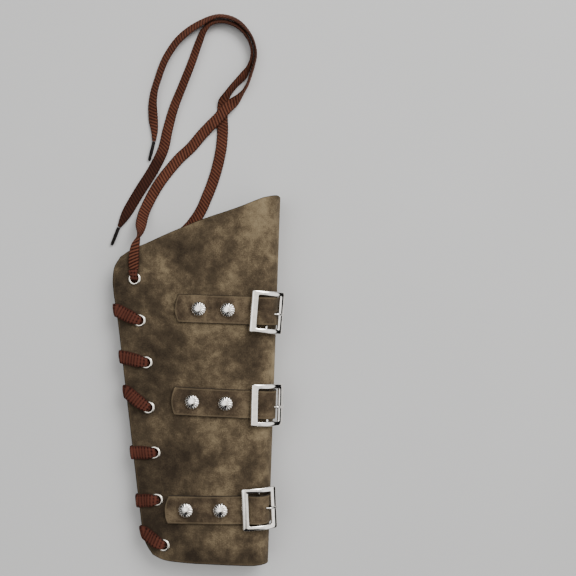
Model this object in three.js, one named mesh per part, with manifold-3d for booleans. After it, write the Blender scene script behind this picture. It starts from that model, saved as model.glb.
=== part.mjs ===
// Laced leather armband, folded flat: one sheet bent round a fold at the right, laced along its
// open left edge, with three buckled straps. Millimetres, +X right, +Y to the elbow end, +Z up.

import * as THREE from 'three';
import { mergeVertices } from 'three/addons/utils/BufferGeometryUtils.js';
import Module from 'manifold-3d';

const wasm = await Module();
wasm.setup();

// Leather sheet
const sheetThickness = 2;
const foldRadius = 11;
const backHeight = 5.6;
const edgeDrop = 13.8;
const foldLine = { at: 52.2, slope: 0.034 };
const openEdge = { at: -50.8, slope: -0.118 };
const endY = { wrist: -125.9, elbow: 127.8 };
const peakDip = 1.8;
const backInset = 1.5;
const sheetCells = { front: 10, fold: 8, back: 5, rows: 12 };
const gap = 0.25;

// Middle of the armband without its free lace ends, taken as the frame's origin
const frameOrigin = { x: 0.2, y: 0.7 };

const foldCentreHeight = backHeight + foldRadius;
const frontHeight = backHeight + 2 * foldRadius;
const halfSheet = sheetThickness / 2;

// Outline of one panel, from the fold to the open edge
const elbowEdge = [
  { x: 44.8, y: 126.4 },
  { x: 27.6, y: 119.6 },
  { x: 4, y: 110.8 },
  { x: -17.8, y: 102.2 },
  { x: -36.2, y: 94.2 },
  { x: -46, y: 90.2 },
  { x: -53.7, y: 85.4 },
];
const wristEdge = [
  { x: 37, y: -125.7 },
  { x: 12, y: -126.3 },
  { x: -10, y: -126.2 },
  { x: -24, y: -125 },
  { x: -31.2, y: -122 },
];
const lacedEdge = [
  { x: -31.2, y: -122 },
  { x: -36, y: -114.5 },
  { x: -38.6, y: -104 },
  { x: -41, y: -86 },
  { x: -45, y: -52 },
  { x: -50.6, y: -4 },
  { x: -56, y: 42 },
  { x: -58.9, y: 62 },
  { x: -59.3, y: 70 },
  { x: -58, y: 78.5 },
  { x: -53.7, y: 85.4 },
];

// Straps: where each starts on the front, its slope in plan and its two front studs
const strapThickness = 1.5;
const strapWidth = 19.5;
const endTaper = { length: 2.2, halfWidth: 7.6 };
const strapBump = { height: 3.75, halfLength: 7.8 };
const straps = [
  { name: 'upper', startX: -13.9, y: 49.8, slope: -0.033, studs: [2.2, 22.1] },
  { name: 'middle', startX: -16.5, y: -14.1, slope: -0.034, studs: [-2.3, 20.6] },
  { name: 'lower', startX: -21.1, y: -89.6, slope: 0.03, studs: [-6.7, 17.1] },
];

// Buckles
const buckle = {
  length: 24.4, width: 28.8, bar: 4.3, rail: 3.3, thickness: 2.4, crown: 4.8, bow: 30,
  bevel: 0.5, corner: 1.2, windowCorner: 0.6,
};
const buckleSeats = [
  { tilt: 24, slide: 0.4, turn: -5, shift: -0.8, prongShift: -0.9 },
  { tilt: 29, slide: 1.5, turn: -1.5, shift: -0.2, prongShift: -1.4 },
  { tilt: 17, slide: 1.1, turn: 2.6, shift: 0.7, prongShift: 0 },
];
const centreBar = { radius: 0.75, height: 2 };
const prong = { width: 1.8, thickness: 1.1, loopRadius: 1.3, loopThickness: 0.72 };
const prongArm = [[4.4, 3.6], [7, 4.65], [9.3, 4.15], [12, 3.05]];
const prongSlot = { from: 0.7, to: 6.6, width: 3 };

// Studs and eyelets
const stud = { radius: 5.3, dome: 2.6, flat: 1.6, post: 1.45, capRadius: 3.2, cap: 0.6 };
const eyelet = { outer: 4.5, hole: 2.7, barrel: 3.1, inner: 4.1, flange: 0.7 };
const holeClearance = 0.25;

// Front eyelets, and where the lace crosses the edge beside each
const eyelets = [
  { x: -43.5, y: 70, crossY: 77 },
  { x: -40, y: 41, crossY: 48.1 },
  { x: -35.2, y: 11.9, crossY: 15.6 },
  { x: -33.7, y: -19.4, crossY: -8.7 },
  { x: -29.6, y: -50.6, crossY: -51 },
  { x: -27.8, y: -83.4, crossY: -84.6 },
  { x: -23.2, y: -114.8, crossY: -106.5 },
];

// Flat braided lace
const backRise = 4;
const lace = { width: 8, thickness: 1.8, pinchWidth: 4.2, pinchThickness: 2.3 };

// Free lace ends: place of the middle, lean of the flat side in degrees, width
const frontTailRoute = [
  [-44.1, 76.7, 19.4, 12, 7.4],
  [-44.1, 82, 19.5, 12, 8],
  [-43.8, 87.6, 19.6, 12, 7.6],
  [-43, 92.8, 19.5, 14, 6.6],
  [-42.1, 96.8, 17.9, 46, 6.2],
  [-41.3, 101.2, 14.7, 102, 7],
  [-40.6, 107.5, 9.8, 150, 8],
  [-39.5, 115.6, 5, 174, 8],
  [-36.2, 124.6, 1.6, 180, 8],
  [-28.3, 138.6, 1.1, 180, 8],
  [-14.9, 155.2, 1.1, 180, 8],
  [-6.2, 163.4, 1.1, 180, 8],
  [1.7, 172.5, 1.9, 180, 8],
  [7.5, 178.3, 3.2, 180, 8],
  [13.9, 184.6, 3.7, 180, 8],
  [20.3, 191.8, 3.9, 172, 8],
  [25.2, 195.9, 3.9, 138, 8],
  [28.4, 199.2, 4.2, 112, 8],
  [31.2, 202.8, 4.2, 95, 8],
  [34.1, 207.9, 4.2, 92, 8],
  [36.4, 214.5, 4.2, 93, 8],
  [38.5, 221.5, 4.2, 94, 8],
  [39.9, 228.5, 4.2, 94, 8],
  [39.3, 234.8, 4.2, 96, 8],
  [36.8, 241.6, 4.2, 102, 8],
  [32.6, 247.4, 4.2, 112, 8],
  [27.7, 252, 4.2, 118, 8],
  [21.7, 255, 4.2, 120, 8],
  [14.2, 256.1, 4.2, 122, 8],
  [8.2, 254.7, 4.1, 128, 8],
  [2.2, 251.8, 4, 136, 8],
  [-6, 247, 3.8, 141, 8],
  [-14.8, 239.5, 3.7, 142, 8],
  [-22, 229.5, 3.7, 140, 8],
  [-26.2, 221, 3.7, 139, 8],
  [-29.3, 212, 3.7, 138, 8],
  [-31.8, 204, 3.5, 138, 8],
  [-33.2, 194.7, 3.1, 146, 8],
  [-33, 184.6, 2.1, 160, 7.6],
  [-32.2, 175.6, 1.5, 176, 5.2],
  [-32.4, 167.8, 1.4, 180, 2.7],
];
const backTailRoute = [
  [-39.4, 77.9, 2.5, 0, 7.4],
  [-37.4, 81.8, 1.7, 0, 8],
  [-35.3, 86.2, 1.3, 0, 8],
  [-26.1, 93.2, 1.3, 0, 8],
  [-16.8, 99.2, 1.3, 0, 8],
  [-9, 105.2, 1.3, 0, 8],
  [-3.3, 111.9, 1.2, 0, 8],
  [1.3, 119.4, 1.1, 0, 8],
  [4.8, 127.5, 1.1, 0, 8],
  [8.8, 137.5, 1.1, 0, 8],
  [12.3, 148.8, 1.1, 0, 8],
  [15.2, 162.3, 1.1, 0, 8],
  [16.3, 175.1, 1.1, 0, 8],
  [16.1, 185.8, 1.1, 0, 8],
  [16.4, 192.6, 1.1, 0, 8],
  [17.2, 196, 2.6, -24, 8],
  [19, 199.4, 3.9, -54, 8],
  [24.6, 206.9, 4.1, -64, 8],
  [31.4, 214.2, 4, -58, 8],
  [34.5, 218.9, 4.2, -74, 8],
  [36.5, 224.3, 4.2, -84, 8],
  [37.3, 229.7, 4.2, -87, 8],
  [36.4, 235.5, 4.2, -87, 8],
  [34, 240.9, 4.2, -80, 8],
  [30.4, 245.9, 4.2, -70, 8],
  [25.4, 249.8, 4.2, -62, 8],
  [18.6, 252.2, 4.2, -60, 8],
  [12.8, 252.3, 4.1, -58, 8],
  [7.3, 250.6, 3.9, -54, 8],
  [3, 245.8, 3.5, -48, 8],
  [-0.3, 238, 3.3, -40, 8],
  [-5.4, 223.8, 3.1, -35, 8],
  [-12.4, 206.1, 2.9, -32, 8],
  [-18.1, 191.9, 2.6, -26, 8],
  [-22.6, 176.1, 2.1, -16, 8],
  [-26, 162, 1.5, -5, 8],
  [-32.6, 148.4, 1.2, 0, 8],
  [-43.8, 130.5, 1.2, 0, 8],
  [-52.6, 115.5, 1.2, 0, 7],
  [-57.4, 106.9, 1.3, 0, 2.7],
];
const aglet = { radius: 1.3, height: 1.5 };
const frontAglet = { from: [-32.5, 167.4], to: [-35.9, 153.9] };
const backAglet = { from: [-57.6, 106.5], to: [-62.6, 93.9] };

const suede = { color: 0x6e6149, roughness: 0.9, metalness: 0 };
const strapLeather = { color: 0x74664c, roughness: 0.85, metalness: 0 };
const chrome = { color: 0xd8d8dc, roughness: 0.15, metalness: 1 };
const nickel = { color: 0xcfccc4, roughness: 0.25, metalness: 1 };
const braid = { color: 0x7a3f27, roughness: 0.9, metalness: 0 };
const darkTip = { color: 0x1e1310, roughness: 0.5, metalness: 0 };

const radians = THREE.MathUtils.degToRad;

// Solids

function toManifold(geometry) {
  const bare = geometry.clone();
  bare.deleteAttribute('normal');
  bare.deleteAttribute('uv');
  const merged = mergeVertices(bare, 1e-4);
  return new wasm.Manifold(new wasm.Mesh({
    numProp: 3,
    vertProperties: new Float32Array(merged.attributes.position.array),
    triVerts: new Uint32Array(merged.index.array),
  }));
}

function toGeometry(solid) {
  const { vertProperties, triVerts } = solid.getMesh();
  const geometry = new THREE.BufferGeometry();
  geometry.setAttribute('position', new THREE.BufferAttribute(new Float32Array(vertProperties), 3));
  geometry.setIndex(Array.from(triVerts));
  geometry.computeVertexNormals();
  return geometry;
}

function cutHoles(geometry, cutters) {
  let solid = toManifold(geometry);
  for (const cutter of cutters) {
    solid = solid.subtract(toManifold(cutter));
  }
  return toGeometry(solid);
}

// A round profile standing on a place, its axis along the given direction
function lathe(profile, sides, place, direction) {
  const points = profile.map(([radius, height]) => new THREE.Vector2(radius, height));
  const geometry = new THREE.LatheGeometry(points, sides);
  const turn = new THREE.Quaternion().setFromUnitVectors(new THREE.Vector3(0, 1, 0), direction);
  geometry.applyMatrix4(new THREE.Matrix4().compose(place, turn, new THREE.Vector3(1, 1, 1)));
  return geometry;
}

// Closed surface through rings of points, each ring with the same number of points
function loft(rings) {
  const count = rings[0].length;
  const positions = rings.flat().flatMap((point) => [point.x, point.y, point.z]);
  const faces = [];
  for (let ring = 0; ring < rings.length - 1; ring += 1) {
    for (let side = 0; side < count; side += 1) {
      const here = ring * count + side;
      const next = ring * count + (side + 1) % count;
      faces.push(here, next + count, next, here, here + count, next + count);
    }
  }
  const last = (rings.length - 1) * count;
  for (let side = 1; side < count - 1; side += 1) {
    faces.push(0, side, side + 1, last, last + side + 1, last + side);
  }
  const geometry = new THREE.BufferGeometry();
  geometry.setAttribute('position', new THREE.Float32BufferAttribute(positions, 3));
  geometry.setIndex(faces);
  geometry.computeVertexNormals();
  return geometry;
}

// Leather sheet: the middle surface of both panels and the fold between them

function foldX(y) {
  return foldLine.at + foldLine.slope * y;
}

function tangentX(y) {
  return foldX(y) - foldRadius;
}

// Height of the front panel: level at the fold, dropping to the laced edge
function frontZ(x, y) {
  const reach = tangentX(y) - (openEdge.at + openEdge.slope * y);
  const part = Math.max(0, (tangentX(y) - x) / reach);
  return frontHeight - edgeDrop * (1.5 * part ** 2 - 0.5 * part ** 3);
}

function curveAt(table, part) {
  const points = table.map(({ x, y }) => new THREE.Vector3(x, y, 0));
  return new THREE.CatmullRomCurve3(points, false, 'centripetal').getPointAt(part);
}

function tangentLine(part) {
  const y = endY.wrist + (endY.elbow - endY.wrist) * part;
  return new THREE.Vector3(tangentX(y), y, 0);
}

// Place on a panel in plan: across 0 at the fold to 1 at the laced edge, along 0 wrist to 1 elbow
function panelPlan(across, along) {
  const corners = [
    [tangentLine(0), curveAt(lacedEdge, 0)],
    [tangentLine(1), curveAt(lacedEdge, 1)],
  ];
  const wrist = curveAt([{ x: tangentX(endY.wrist), y: endY.wrist }, ...wristEdge.slice(1)], across);
  const elbow = curveAt([{ x: tangentX(endY.elbow), y: endY.elbow }, ...elbowEdge.slice(1)], across);
  const blend = (axis) => {
    const ends = (1 - along) * wrist[axis] + along * elbow[axis];
    const sides = (1 - across) * tangentLine(along)[axis] + across * curveAt(lacedEdge, along)[axis];
    const low = (1 - across) * corners[0][0][axis] + across * corners[0][1][axis];
    const high = (1 - across) * corners[1][0][axis] + across * corners[1][1][axis];
    return ends + sides - (1 - along) * low - along * high;
  };
  return { x: blend('x'), y: blend('y') };
}

function sheetColumns() {
  const columns = [];
  for (let i = sheetCells.front; i > 0; i -= 1) {
    columns.push({ panel: 'front', across: i / sheetCells.front });
  }
  for (let i = 0; i <= sheetCells.fold; i += 1) {
    columns.push({ panel: 'fold', angle: 90 - (180 * i) / sheetCells.fold });
  }
  for (let i = 1; i <= sheetCells.back; i += 1) {
    columns.push({ panel: 'back', across: i / sheetCells.back });
  }
  return columns;
}

function sheetPoint(column, along) {
  if (column.panel === 'fold') {
    const { x, y } = panelPlan(0, along);
    const turn = radians(column.angle);
    const dip = peakDip * Math.cos(turn) ** 4 * Math.max(0, 1 - (1 - along) * 8);
    return new THREE.Vector3(
      x + foldRadius * Math.cos(turn),
      y - dip,
      foldCentreHeight + foldRadius * Math.sin(turn),
    );
  }
  const { x, y } = panelPlan(column.across, along);
  if (column.panel === 'front') {
    return new THREE.Vector3(x, y, frontZ(x, y));
  }
  return new THREE.Vector3(x + backInset * column.across, y, backHeight);
}

// Rows crowd towards the rounded corners
function rowPlace(row) {
  const even = row / sheetCells.rows;
  return even - 0.07 * Math.sin(2 * Math.PI * even);
}

function makeSheet() {
  const columns = sheetColumns();
  const rows = sheetCells.rows + 1;
  const middle = columns.map((column) => Array.from({ length: rows }, (_, row) => (
    sheetPoint(column, rowPlace(row)))));
  const clampTo = (value, high) => Math.min(Math.max(value, 0), high);
  const side = (sign) => middle.map((line, i) => line.map((point, j) => {
    const across = middle[clampTo(i + 1, columns.length - 1)][j].clone()
      .sub(middle[clampTo(i - 1, columns.length - 1)][j]);
    const along = line[clampTo(j + 1, rows - 1)].clone().sub(line[clampTo(j - 1, rows - 1)]);
    const normal = across.cross(along).normalize();
    return point.clone().addScaledVector(normal, sign * halfSheet);
  }));
  const outer = side(1);
  const inner = side(-1);
  const rings = outer.map((line, i) => [...line, ...inner[i].slice().reverse()]);
  return stripLoft(rings, rows);
}

// Loft of thin rings: the end rings are closed by quads between their two faces
function stripLoft(rings, rows) {
  const body = loft(rings);
  const faces = Array.from(body.index.array).slice(0, (rings.length - 1) * rings[0].length * 6);
  const count = rings[0].length;
  const cap = (start, flip) => {
    for (let j = 0; j < rows - 1; j += 1) {
      const corners = [j, j + 1, count - 2 - j, count - 1 - j].map((k) => start + k);
      const [a, b, c, d] = flip ? corners.reverse() : corners;
      faces.push(a, b, c, a, c, d);
    }
  };
  cap(0, false);
  cap((rings.length - 1) * count, true);
  body.setIndex(faces);
  return body;
}

// Outer face of the sheet along a line of constant y: negative distances run over the front from
// the fold's upper tangent, then round the fold, then back along the underside
function outerFace(distance, y) {
  const arc = Math.PI * foldRadius;
  if (distance < 0) {
    const x = tangentX(y) + distance;
    const step = 0.5;
    const rise = (frontZ(x + step, y) - frontZ(x - step, y)) / (2 * step);
    const normal = new THREE.Vector3(-rise, 0, 1).normalize();
    return { place: new THREE.Vector3(x, y, frontZ(x, y)), normal };
  }
  if (distance <= arc) {
    const turn = Math.PI / 2 - distance / foldRadius;
    const normal = new THREE.Vector3(Math.cos(turn), 0, Math.sin(turn));
    const centre = new THREE.Vector3(tangentX(y), y, foldCentreHeight);
    return { place: centre.addScaledVector(normal, foldRadius), normal };
  }
  const x = tangentX(y) - (distance - arc);
  return { place: new THREE.Vector3(x, y, backHeight), normal: new THREE.Vector3(0, 0, -1) };
}

function overFace(distance, y, height) {
  const { place, normal } = outerFace(distance, y);
  return place.addScaledVector(normal, halfSheet + height);
}

// Straps

function strapLayout(strap, seat) {
  const start = strap.startX - tangentX(strap.y);
  const end = Math.PI * foldRadius - start;
  const yAt = (distance) => strap.y + strap.slope * (distance - start);
  const contact = radians(seat.tilt) * foldRadius;
  const barDistance = contact + seat.slide;
  const lift = (distance) => {
    const off = Math.abs(distance - barDistance) / strapBump.halfLength;
    return off < 1 ? strapBump.height * Math.cos((Math.PI / 2) * off) ** 2 : 0;
  };
  const frontStuds = strap.studs.map((x) => x - tangentX(strap.y));
  const backStuds = frontStuds.map((distance) => Math.PI * foldRadius - distance);
  const matrix = buckleMatrix(seat, contact, yAt(barDistance));
  const prongMatrix = matrix.clone().multiply(new THREE.Matrix4().makeTranslation(0, seat.prongShift, 0));
  const studDistances = [...frontStuds, ...backStuds];
  return { start, end, yAt, barDistance, lift, matrix, prongMatrix, studs: studDistances };
}

function strapStations(layout) {
  const arc = Math.PI * foldRadius;
  const bump = layout.barDistance;
  const reach = strapBump.halfLength;
  const span = (from, to, steps) => (
    Array.from({ length: steps }, (_, i) => from + ((to - from) * i) / steps));
  return [
    layout.start,
    layout.start + endTaper.length,
    ...span(layout.start + endTaper.length, bump - reach, 5).slice(1),
    ...span(bump - reach, bump + reach, 10),
    ...span(bump + reach, arc, 5),
    ...span(arc, layout.end - endTaper.length, 2),
    layout.end - endTaper.length,
    layout.end,
  ];
}

function makeStrap(layout) {
  const rings = strapStations(layout).map((distance, i, all) => {
    const half = i === 0 || i === all.length - 1 ? endTaper.halfWidth : strapWidth / 2;
    const y = layout.yAt(distance);
    const low = gap + layout.lift(distance);
    const high = low + strapThickness;
    return [
      overFace(distance, y + half, low),
      overFace(distance, y - half, low),
      overFace(distance, y - half, high),
      overFace(distance, y + half, high),
    ];
  });
  const cutters = layout.studs.map((distance) => studHole(distance, layout.yAt(distance)));
  cutters.push(slotCutter(layout));
  return cutHoles(loft(rings), cutters);
}

function studHole(distance, y) {
  const { place, normal } = outerFace(distance, y);
  const radius = stud.post + holeClearance;
  return lathe([[0, -4], [radius, -4], [radius, 6], [0, 6]], 6, place, normal);
}

// Slot that the prong comes up through
function slotCutter({ prongMatrix }) {
  const length = prongSlot.to - prongSlot.from;
  const depth = 12;
  const box = new THREE.BoxGeometry(length, prongSlot.width, depth);
  box.translate(prongSlot.from + length / 2, 0, centreBar.height);
  return box.applyMatrix4(prongMatrix);
}

// Axes standing on a place of the fold: x along the strap, y along the armband, z outwards
function frameMatrix(origin, outward, turn) {
  const axisY = new THREE.Vector3(0, 1, 0);
  const axisX = new THREE.Vector3().crossVectors(axisY, outward).normalize();
  const matrix = new THREE.Matrix4().makeBasis(axisX, axisY, outward);
  matrix.multiply(new THREE.Matrix4().makeRotationZ(turn));
  matrix.setPosition(origin);
  return matrix;
}

// Buckles

function rectangle(target, halfX, halfY, corner, steps, clockwise) {
  const corners = [[1, -1], [1, 1], [-1, 1], [-1, -1]];
  const points = [];
  corners.forEach(([sideX, sideY], index) => {
    for (let k = 0; k <= 2; k += 1) {
      const angle = radians(-90 + 90 * index + 45 * k);
      points.push(new THREE.Vector2(
        sideX * (halfX - corner) + corner * Math.cos(angle),
        sideY * (halfY - corner) + corner * Math.sin(angle),
      ));
    }
    if (sideY > 0 && sideX > 0) {
      addRail(points, halfX - corner, halfY, -1, steps);
    }
    if (sideY < 0 && sideX < 0) {
      addRail(points, halfX - corner, -halfY, 1, steps);
    }
  });
  target.setFromPoints(clockwise ? points.reverse() : points);
  return target;
}

// Extra points along a rail, so that it can be bowed
function addRail(points, reach, y, direction, steps) {
  for (let k = 1; k < steps; k += 1) {
    points.push(new THREE.Vector2(direction * reach * ((2 * k) / steps - 1), y));
  }
}

function makeBuckle(matrix) {
  const { bevel } = buckle;
  const halfLength = buckle.length / 2;
  const halfWidth = buckle.width / 2;
  const outline = rectangle(
    new THREE.Shape(), halfLength - bevel, halfWidth - bevel, buckle.corner, 4, false);
  const windowX = halfLength - buckle.bar + bevel;
  const windowY = halfWidth - buckle.rail + bevel;
  outline.holes.push(rectangle(new THREE.Path(), windowX, windowY, buckle.windowCorner, 4, true));
  const frame = new THREE.ExtrudeGeometry(outline, {
    depth: buckle.thickness - 2 * bevel,
    bevelThickness: bevel,
    bevelSize: bevel,
    bevelSegments: 1,
    curveSegments: 1,
    steps: 1,
  });
  frame.translate(0, 0, buckle.crown - buckle.thickness + bevel);
  bow(frame);
  const bar = new THREE.CylinderGeometry(centreBar.radius, centreBar.radius, buckle.width - 3, 8);
  bar.translate(0, 0, centreBar.height);
  let solid = toManifold(frame).add(toManifold(bar));
  for (const side of [-1, 1]) {
    const lug = new THREE.BoxGeometry(2.6, 2.4, 2.4);
    lug.translate(0, side * (halfWidth - 1.9), centreBar.height + 0.3);
    solid = solid.add(toManifold(lug));
  }
  const geometry = toGeometry(solid);
  geometry.applyMatrix4(matrix);
  return geometry;
}

function bow(geometry) {
  const position = geometry.attributes.position;
  for (let i = 0; i < position.count; i += 1) {
    position.setZ(i, position.getZ(i) - position.getX(i) ** 2 / (2 * buckle.bow));
  }
}

// Prong: an open loop round the centre bar and an arm that ends on the far bar
function makeProng(matrix) {
  const line = [];
  for (let angle = -70; angle >= -330; angle -= 32.5) {
    line.push(new THREE.Vector2(
      prong.loopRadius * Math.cos(radians(angle)),
      centreBar.height + prong.loopRadius * Math.sin(radians(angle)),
    ));
  }
  for (const [x, height] of prongArm) {
    line.push(new THREE.Vector2(x, height));
  }
  const loopPoints = line.length - prongArm.length;
  const offsets = line.map((point, i) => {
    const half = (i < loopPoints ? prong.loopThickness : prong.thickness) / 2;
    const before = line[Math.max(i - 1, 0)];
    const after = line[Math.min(i + 1, line.length - 1)];
    const along = after.clone().sub(before).normalize();
    return new THREE.Vector2(-along.y, along.x).multiplyScalar(half);
  });
  const left = line.map((point, i) => point.clone().add(offsets[i]));
  const right = line.map((point, i) => point.clone().sub(offsets[i])).reverse();
  const shape = new THREE.Shape([...left, ...right]);
  const geometry = new THREE.ExtrudeGeometry(shape, { depth: prong.width, bevelEnabled: false, steps: 1 });
  geometry.rotateX(Math.PI / 2);
  geometry.translate(0, prong.width / 2, 0);
  geometry.applyMatrix4(matrix);
  return geometry;
}

function buckleMatrix(seat, contact, y) {
  const { normal } = outerFace(contact, y);
  const matrix = frameMatrix(overFace(contact, y, 0), normal, radians(seat.turn));
  return matrix.multiply(new THREE.Matrix4().makeTranslation(seat.slide, seat.shift, 0));
}

// Studs and eyelets

function makeStud(distance, y) {
  const { place, normal } = outerFace(distance, y);
  const base = halfSheet + 2 * gap + strapThickness;
  const top = base + stud.dome;
  const inside = -halfSheet - gap;
  return lathe([
    [0, inside - stud.cap],
    [stud.capRadius, inside - stud.cap],
    [stud.capRadius, inside],
    [stud.post, inside],
    [stud.post, base],
    [stud.radius, base],
    [stud.radius - 0.5, base + 0.9],
    [3.4, top - 0.55],
    [stud.flat, top],
    [0, top],
  ], 8, place, normal);
}

function eyeletSeat(panel, index) {
  const { x, y } = eyelets[index];
  if (panel === 'front') {
    return outerFace(x - tangentX(y), y);
  }
  return { place: new THREE.Vector3(x + backInset, y, backHeight), normal: new THREE.Vector3(0, 0, -1) };
}

function makeEyelet({ place, normal }) {
  const face = halfSheet + gap;
  return lathe([
    [eyelet.hole, -face - eyelet.flange],
    [eyelet.inner, -face],
    [eyelet.barrel, -face],
    [eyelet.barrel, face],
    [eyelet.outer, face],
    [eyelet.hole + 0.7, face + eyelet.flange],
    [eyelet.hole, face + 0.2],
    [eyelet.hole, -face - eyelet.flange],
  ], 8, place, normal);
}

function eyeletHole({ place, normal }) {
  const radius = eyelet.barrel + holeClearance;
  return lathe([[0, -3], [radius, -3], [radius, 3], [0, 3]], 8, place, normal);
}

// Lace: a flat section swept through stations, each with its own place, wide axis and size

class LacePath extends THREE.Curve {
  constructor(stations) {
    super();
    this.stations = stations;
  }

  getPoint(part) {
    const last = this.stations.length - 1;
    return this.stations[Math.round(part * last)].place.clone();
  }

  getSpacedPoints() {
    return this.stations.map(({ place }) => place.clone());
  }

  // The wide axis and the thickness axis carry each station's own size
  computeFrenetFrames() {
    const frames = { tangents: [], normals: [], binormals: [] };
    this.stations.forEach(({ wide, width, thickness }, i) => {
      const before = this.stations[Math.max(i - 1, 0)].place;
      const after = this.stations[Math.min(i + 1, this.stations.length - 1)].place;
      const tangent = after.clone().sub(before).normalize();
      const flat = new THREE.Vector3().crossVectors(tangent, wide).normalize();
      frames.tangents.push(tangent);
      frames.normals.push(wide.clone().setLength(width));
      frames.binormals.push(flat.multiplyScalar(thickness));
    });
    return frames;
  }
}

function laceSection(sides) {
  const outline = sides === 8
    ? [[0.5, -0.2], [0.5, 0.2], [0.4, 0.5], [-0.4, 0.5], [-0.5, 0.2], [-0.5, -0.2], [-0.4, -0.5], [0.4, -0.5]]
    : [[0.5, 0], [0.38, 0.5], [-0.38, 0.5], [-0.5, 0], [-0.38, -0.5], [0.38, -0.5]];
  return new THREE.Shape(outline.map(([x, y]) => new THREE.Vector2(x, y)));
}

function sweepLace(stations, sides) {
  return new THREE.ExtrudeGeometry(laceSection(sides), {
    steps: stations.length - 1,
    extrudePath: new LacePath(stations),
  });
}

function tailStations(route) {
  return route.map(([x, y, z, lean, width], i) => {
    const before = route[Math.max(i - 1, 0)];
    const after = route[Math.min(i + 1, route.length - 1)];
    const heading = new THREE.Vector2(after[0] - before[0], after[1] - before[1]).normalize();
    const side = new THREE.Vector3(heading.y, -heading.x, 0).multiplyScalar(Math.cos(radians(lean)));
    side.z = Math.sin(radians(lean));
    const pinch = (lace.width - Math.min(width, lace.width)) / (lace.width - lace.pinchWidth);
    const thickness = lace.thickness + Math.min(pinch, 1) * (lace.pinchThickness - lace.thickness);
    return { place: new THREE.Vector3(x, y, z), wide: side, width, thickness };
  });
}

// Laced edge at a height along the armband, with its direction towards the elbow
function lacedEdgeAt(y) {
  const above = lacedEdge.findIndex((point) => point.y > y);
  const high = lacedEdge[above];
  const low = lacedEdge[above - 1];
  const direction = new THREE.Vector3(high.x - low.x, high.y - low.y, 0);
  const x = low.x + (direction.x * (y - low.y)) / direction.y;
  return { x, along: direction.normalize() };
}

function pinched(place, wide) {
  return { place, wide, width: lace.pinchWidth, thickness: lace.pinchThickness };
}

// Lace coming out of an eyelet, its wide side turning in the hole
function laceOut({ place, normal }, wide, turned) {
  return [
    pinched(place.clone().addScaledVector(normal, 0.4), inSheet(normal, turned)),
    pinched(place.clone().addScaledVector(normal, 2.3), wide),
  ];
}

const lieHeight = halfSheet + gap + lace.thickness / 2;
const ringHeight = lieHeight + eyelet.flange + 0.3;
const wrapRadius = 0.4 + lace.thickness / 2;

// Direction that lies in the sheet, at an angle from the one that points to the fold
function inSheet(normal, degrees) {
  const toFold = new THREE.Vector3(Math.abs(normal.z), 0, normal.z > 0 ? -normal.x : 0);
  return toFold.multiplyScalar(Math.cos(radians(degrees))).setY(Math.sin(radians(degrees)));
}

// Stations of the lace from inside one eyelet, out, over the edge and back inside
function laceOver(panel, index) {
  const seat = eyeletSeat(panel, index);
  const { x, y, crossY } = eyelets[index];
  const edgeY = panel === 'front' ? crossY : y + backRise;
  const { x: frontX, along } = lacedEdgeAt(edgeY);
  const edgeX = panel === 'front' ? frontX : frontX + backInset;
  const edgeZ = panel === 'front' ? frontZ(edgeX, edgeY) : backHeight;
  const edge = new THREE.Vector3(edgeX, edgeY, edgeZ);
  const outward = new THREE.Vector3(-along.y, along.x, 0);
  const heading = new THREE.Vector3(edgeX - x, edgeY - y, 0).normalize();
  const square = new THREE.Vector3(heading.y, -heading.x, 0);
  const squareAngle = THREE.MathUtils.radToDeg(Math.atan2(square.y, square.x));
  const { normal } = seat;
  const onSheet = (part, height, width, turn) => ({
    place: seat.place.clone().lerp(edge, part).addScaledVector(normal, height),
    wide: square.clone().lerp(along, turn),
    width,
    thickness: lace.thickness,
  });
  const atEdge = (out, height, width, up) => ({
    place: edge.clone().addScaledVector(outward, out).addScaledVector(normal, height)
      .addScaledVector(along, up),
    wide: along,
    width,
    thickness: lace.thickness,
  });
  return [
    ...laceOut(seat, square, squareAngle + 26),
    onSheet(0.16, ringHeight + 0.05, 5.8, 0),
    onSheet(0.36, ringHeight + 0.15, 8.2, 0.1),
    onSheet(0.62, lieHeight + 0.2, 8.8, 0.4),
    atEdge(-0.9, lieHeight + 0.1, 9.4, -0.3),
    atEdge(wrapRadius * 0.75, wrapRadius + 0.45, 9.2, 0),
    atEdge(wrapRadius + 0.1, 0, 9, 0.2),
    atEdge(wrapRadius * 0.75, -wrapRadius - 0.45, 8.6, 0.5),
    atEdge(-1, -lieHeight - 0.35, 7.6, 1),
  ];
}

// Stations inside the gap, from one panel's edge up to the other panel's next eyelet
function laceAcross(panel, index) {
  const { place, normal } = eyeletSeat(panel, index);
  const toFold = inSheet(normal, 0);
  const station = (dx, dy, depth, turned) => pinched(
    place.clone().addScaledVector(toFold, dx).addScaledVector(normal, -depth).setY(place.y + dy),
    inSheet(normal, turned),
  );
  const side = panel === 'front' ? -6.2 : 2.4;
  return [
    station(side, -10.5, 4.7, 150),
    station(side * 0.45, -5, 4.2, 155),
    station(-0.2, -1.2, 3.4, 150),
    station(0, 0, 0.8, 120),
  ];
}

function climb(panels) {
  const stations = [];
  panels.forEach((panel, k) => {
    const index = eyelets.length - 1 - k;
    if (k > 0) {
      stations.push(...laceAcross(panel, index));
    }
    if (index > 0) {
      stations.push(...laceOver(panel, index));
    }
  });
  return [...stations, ...laceEnd(panels[panels.length - 1])];
}

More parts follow.
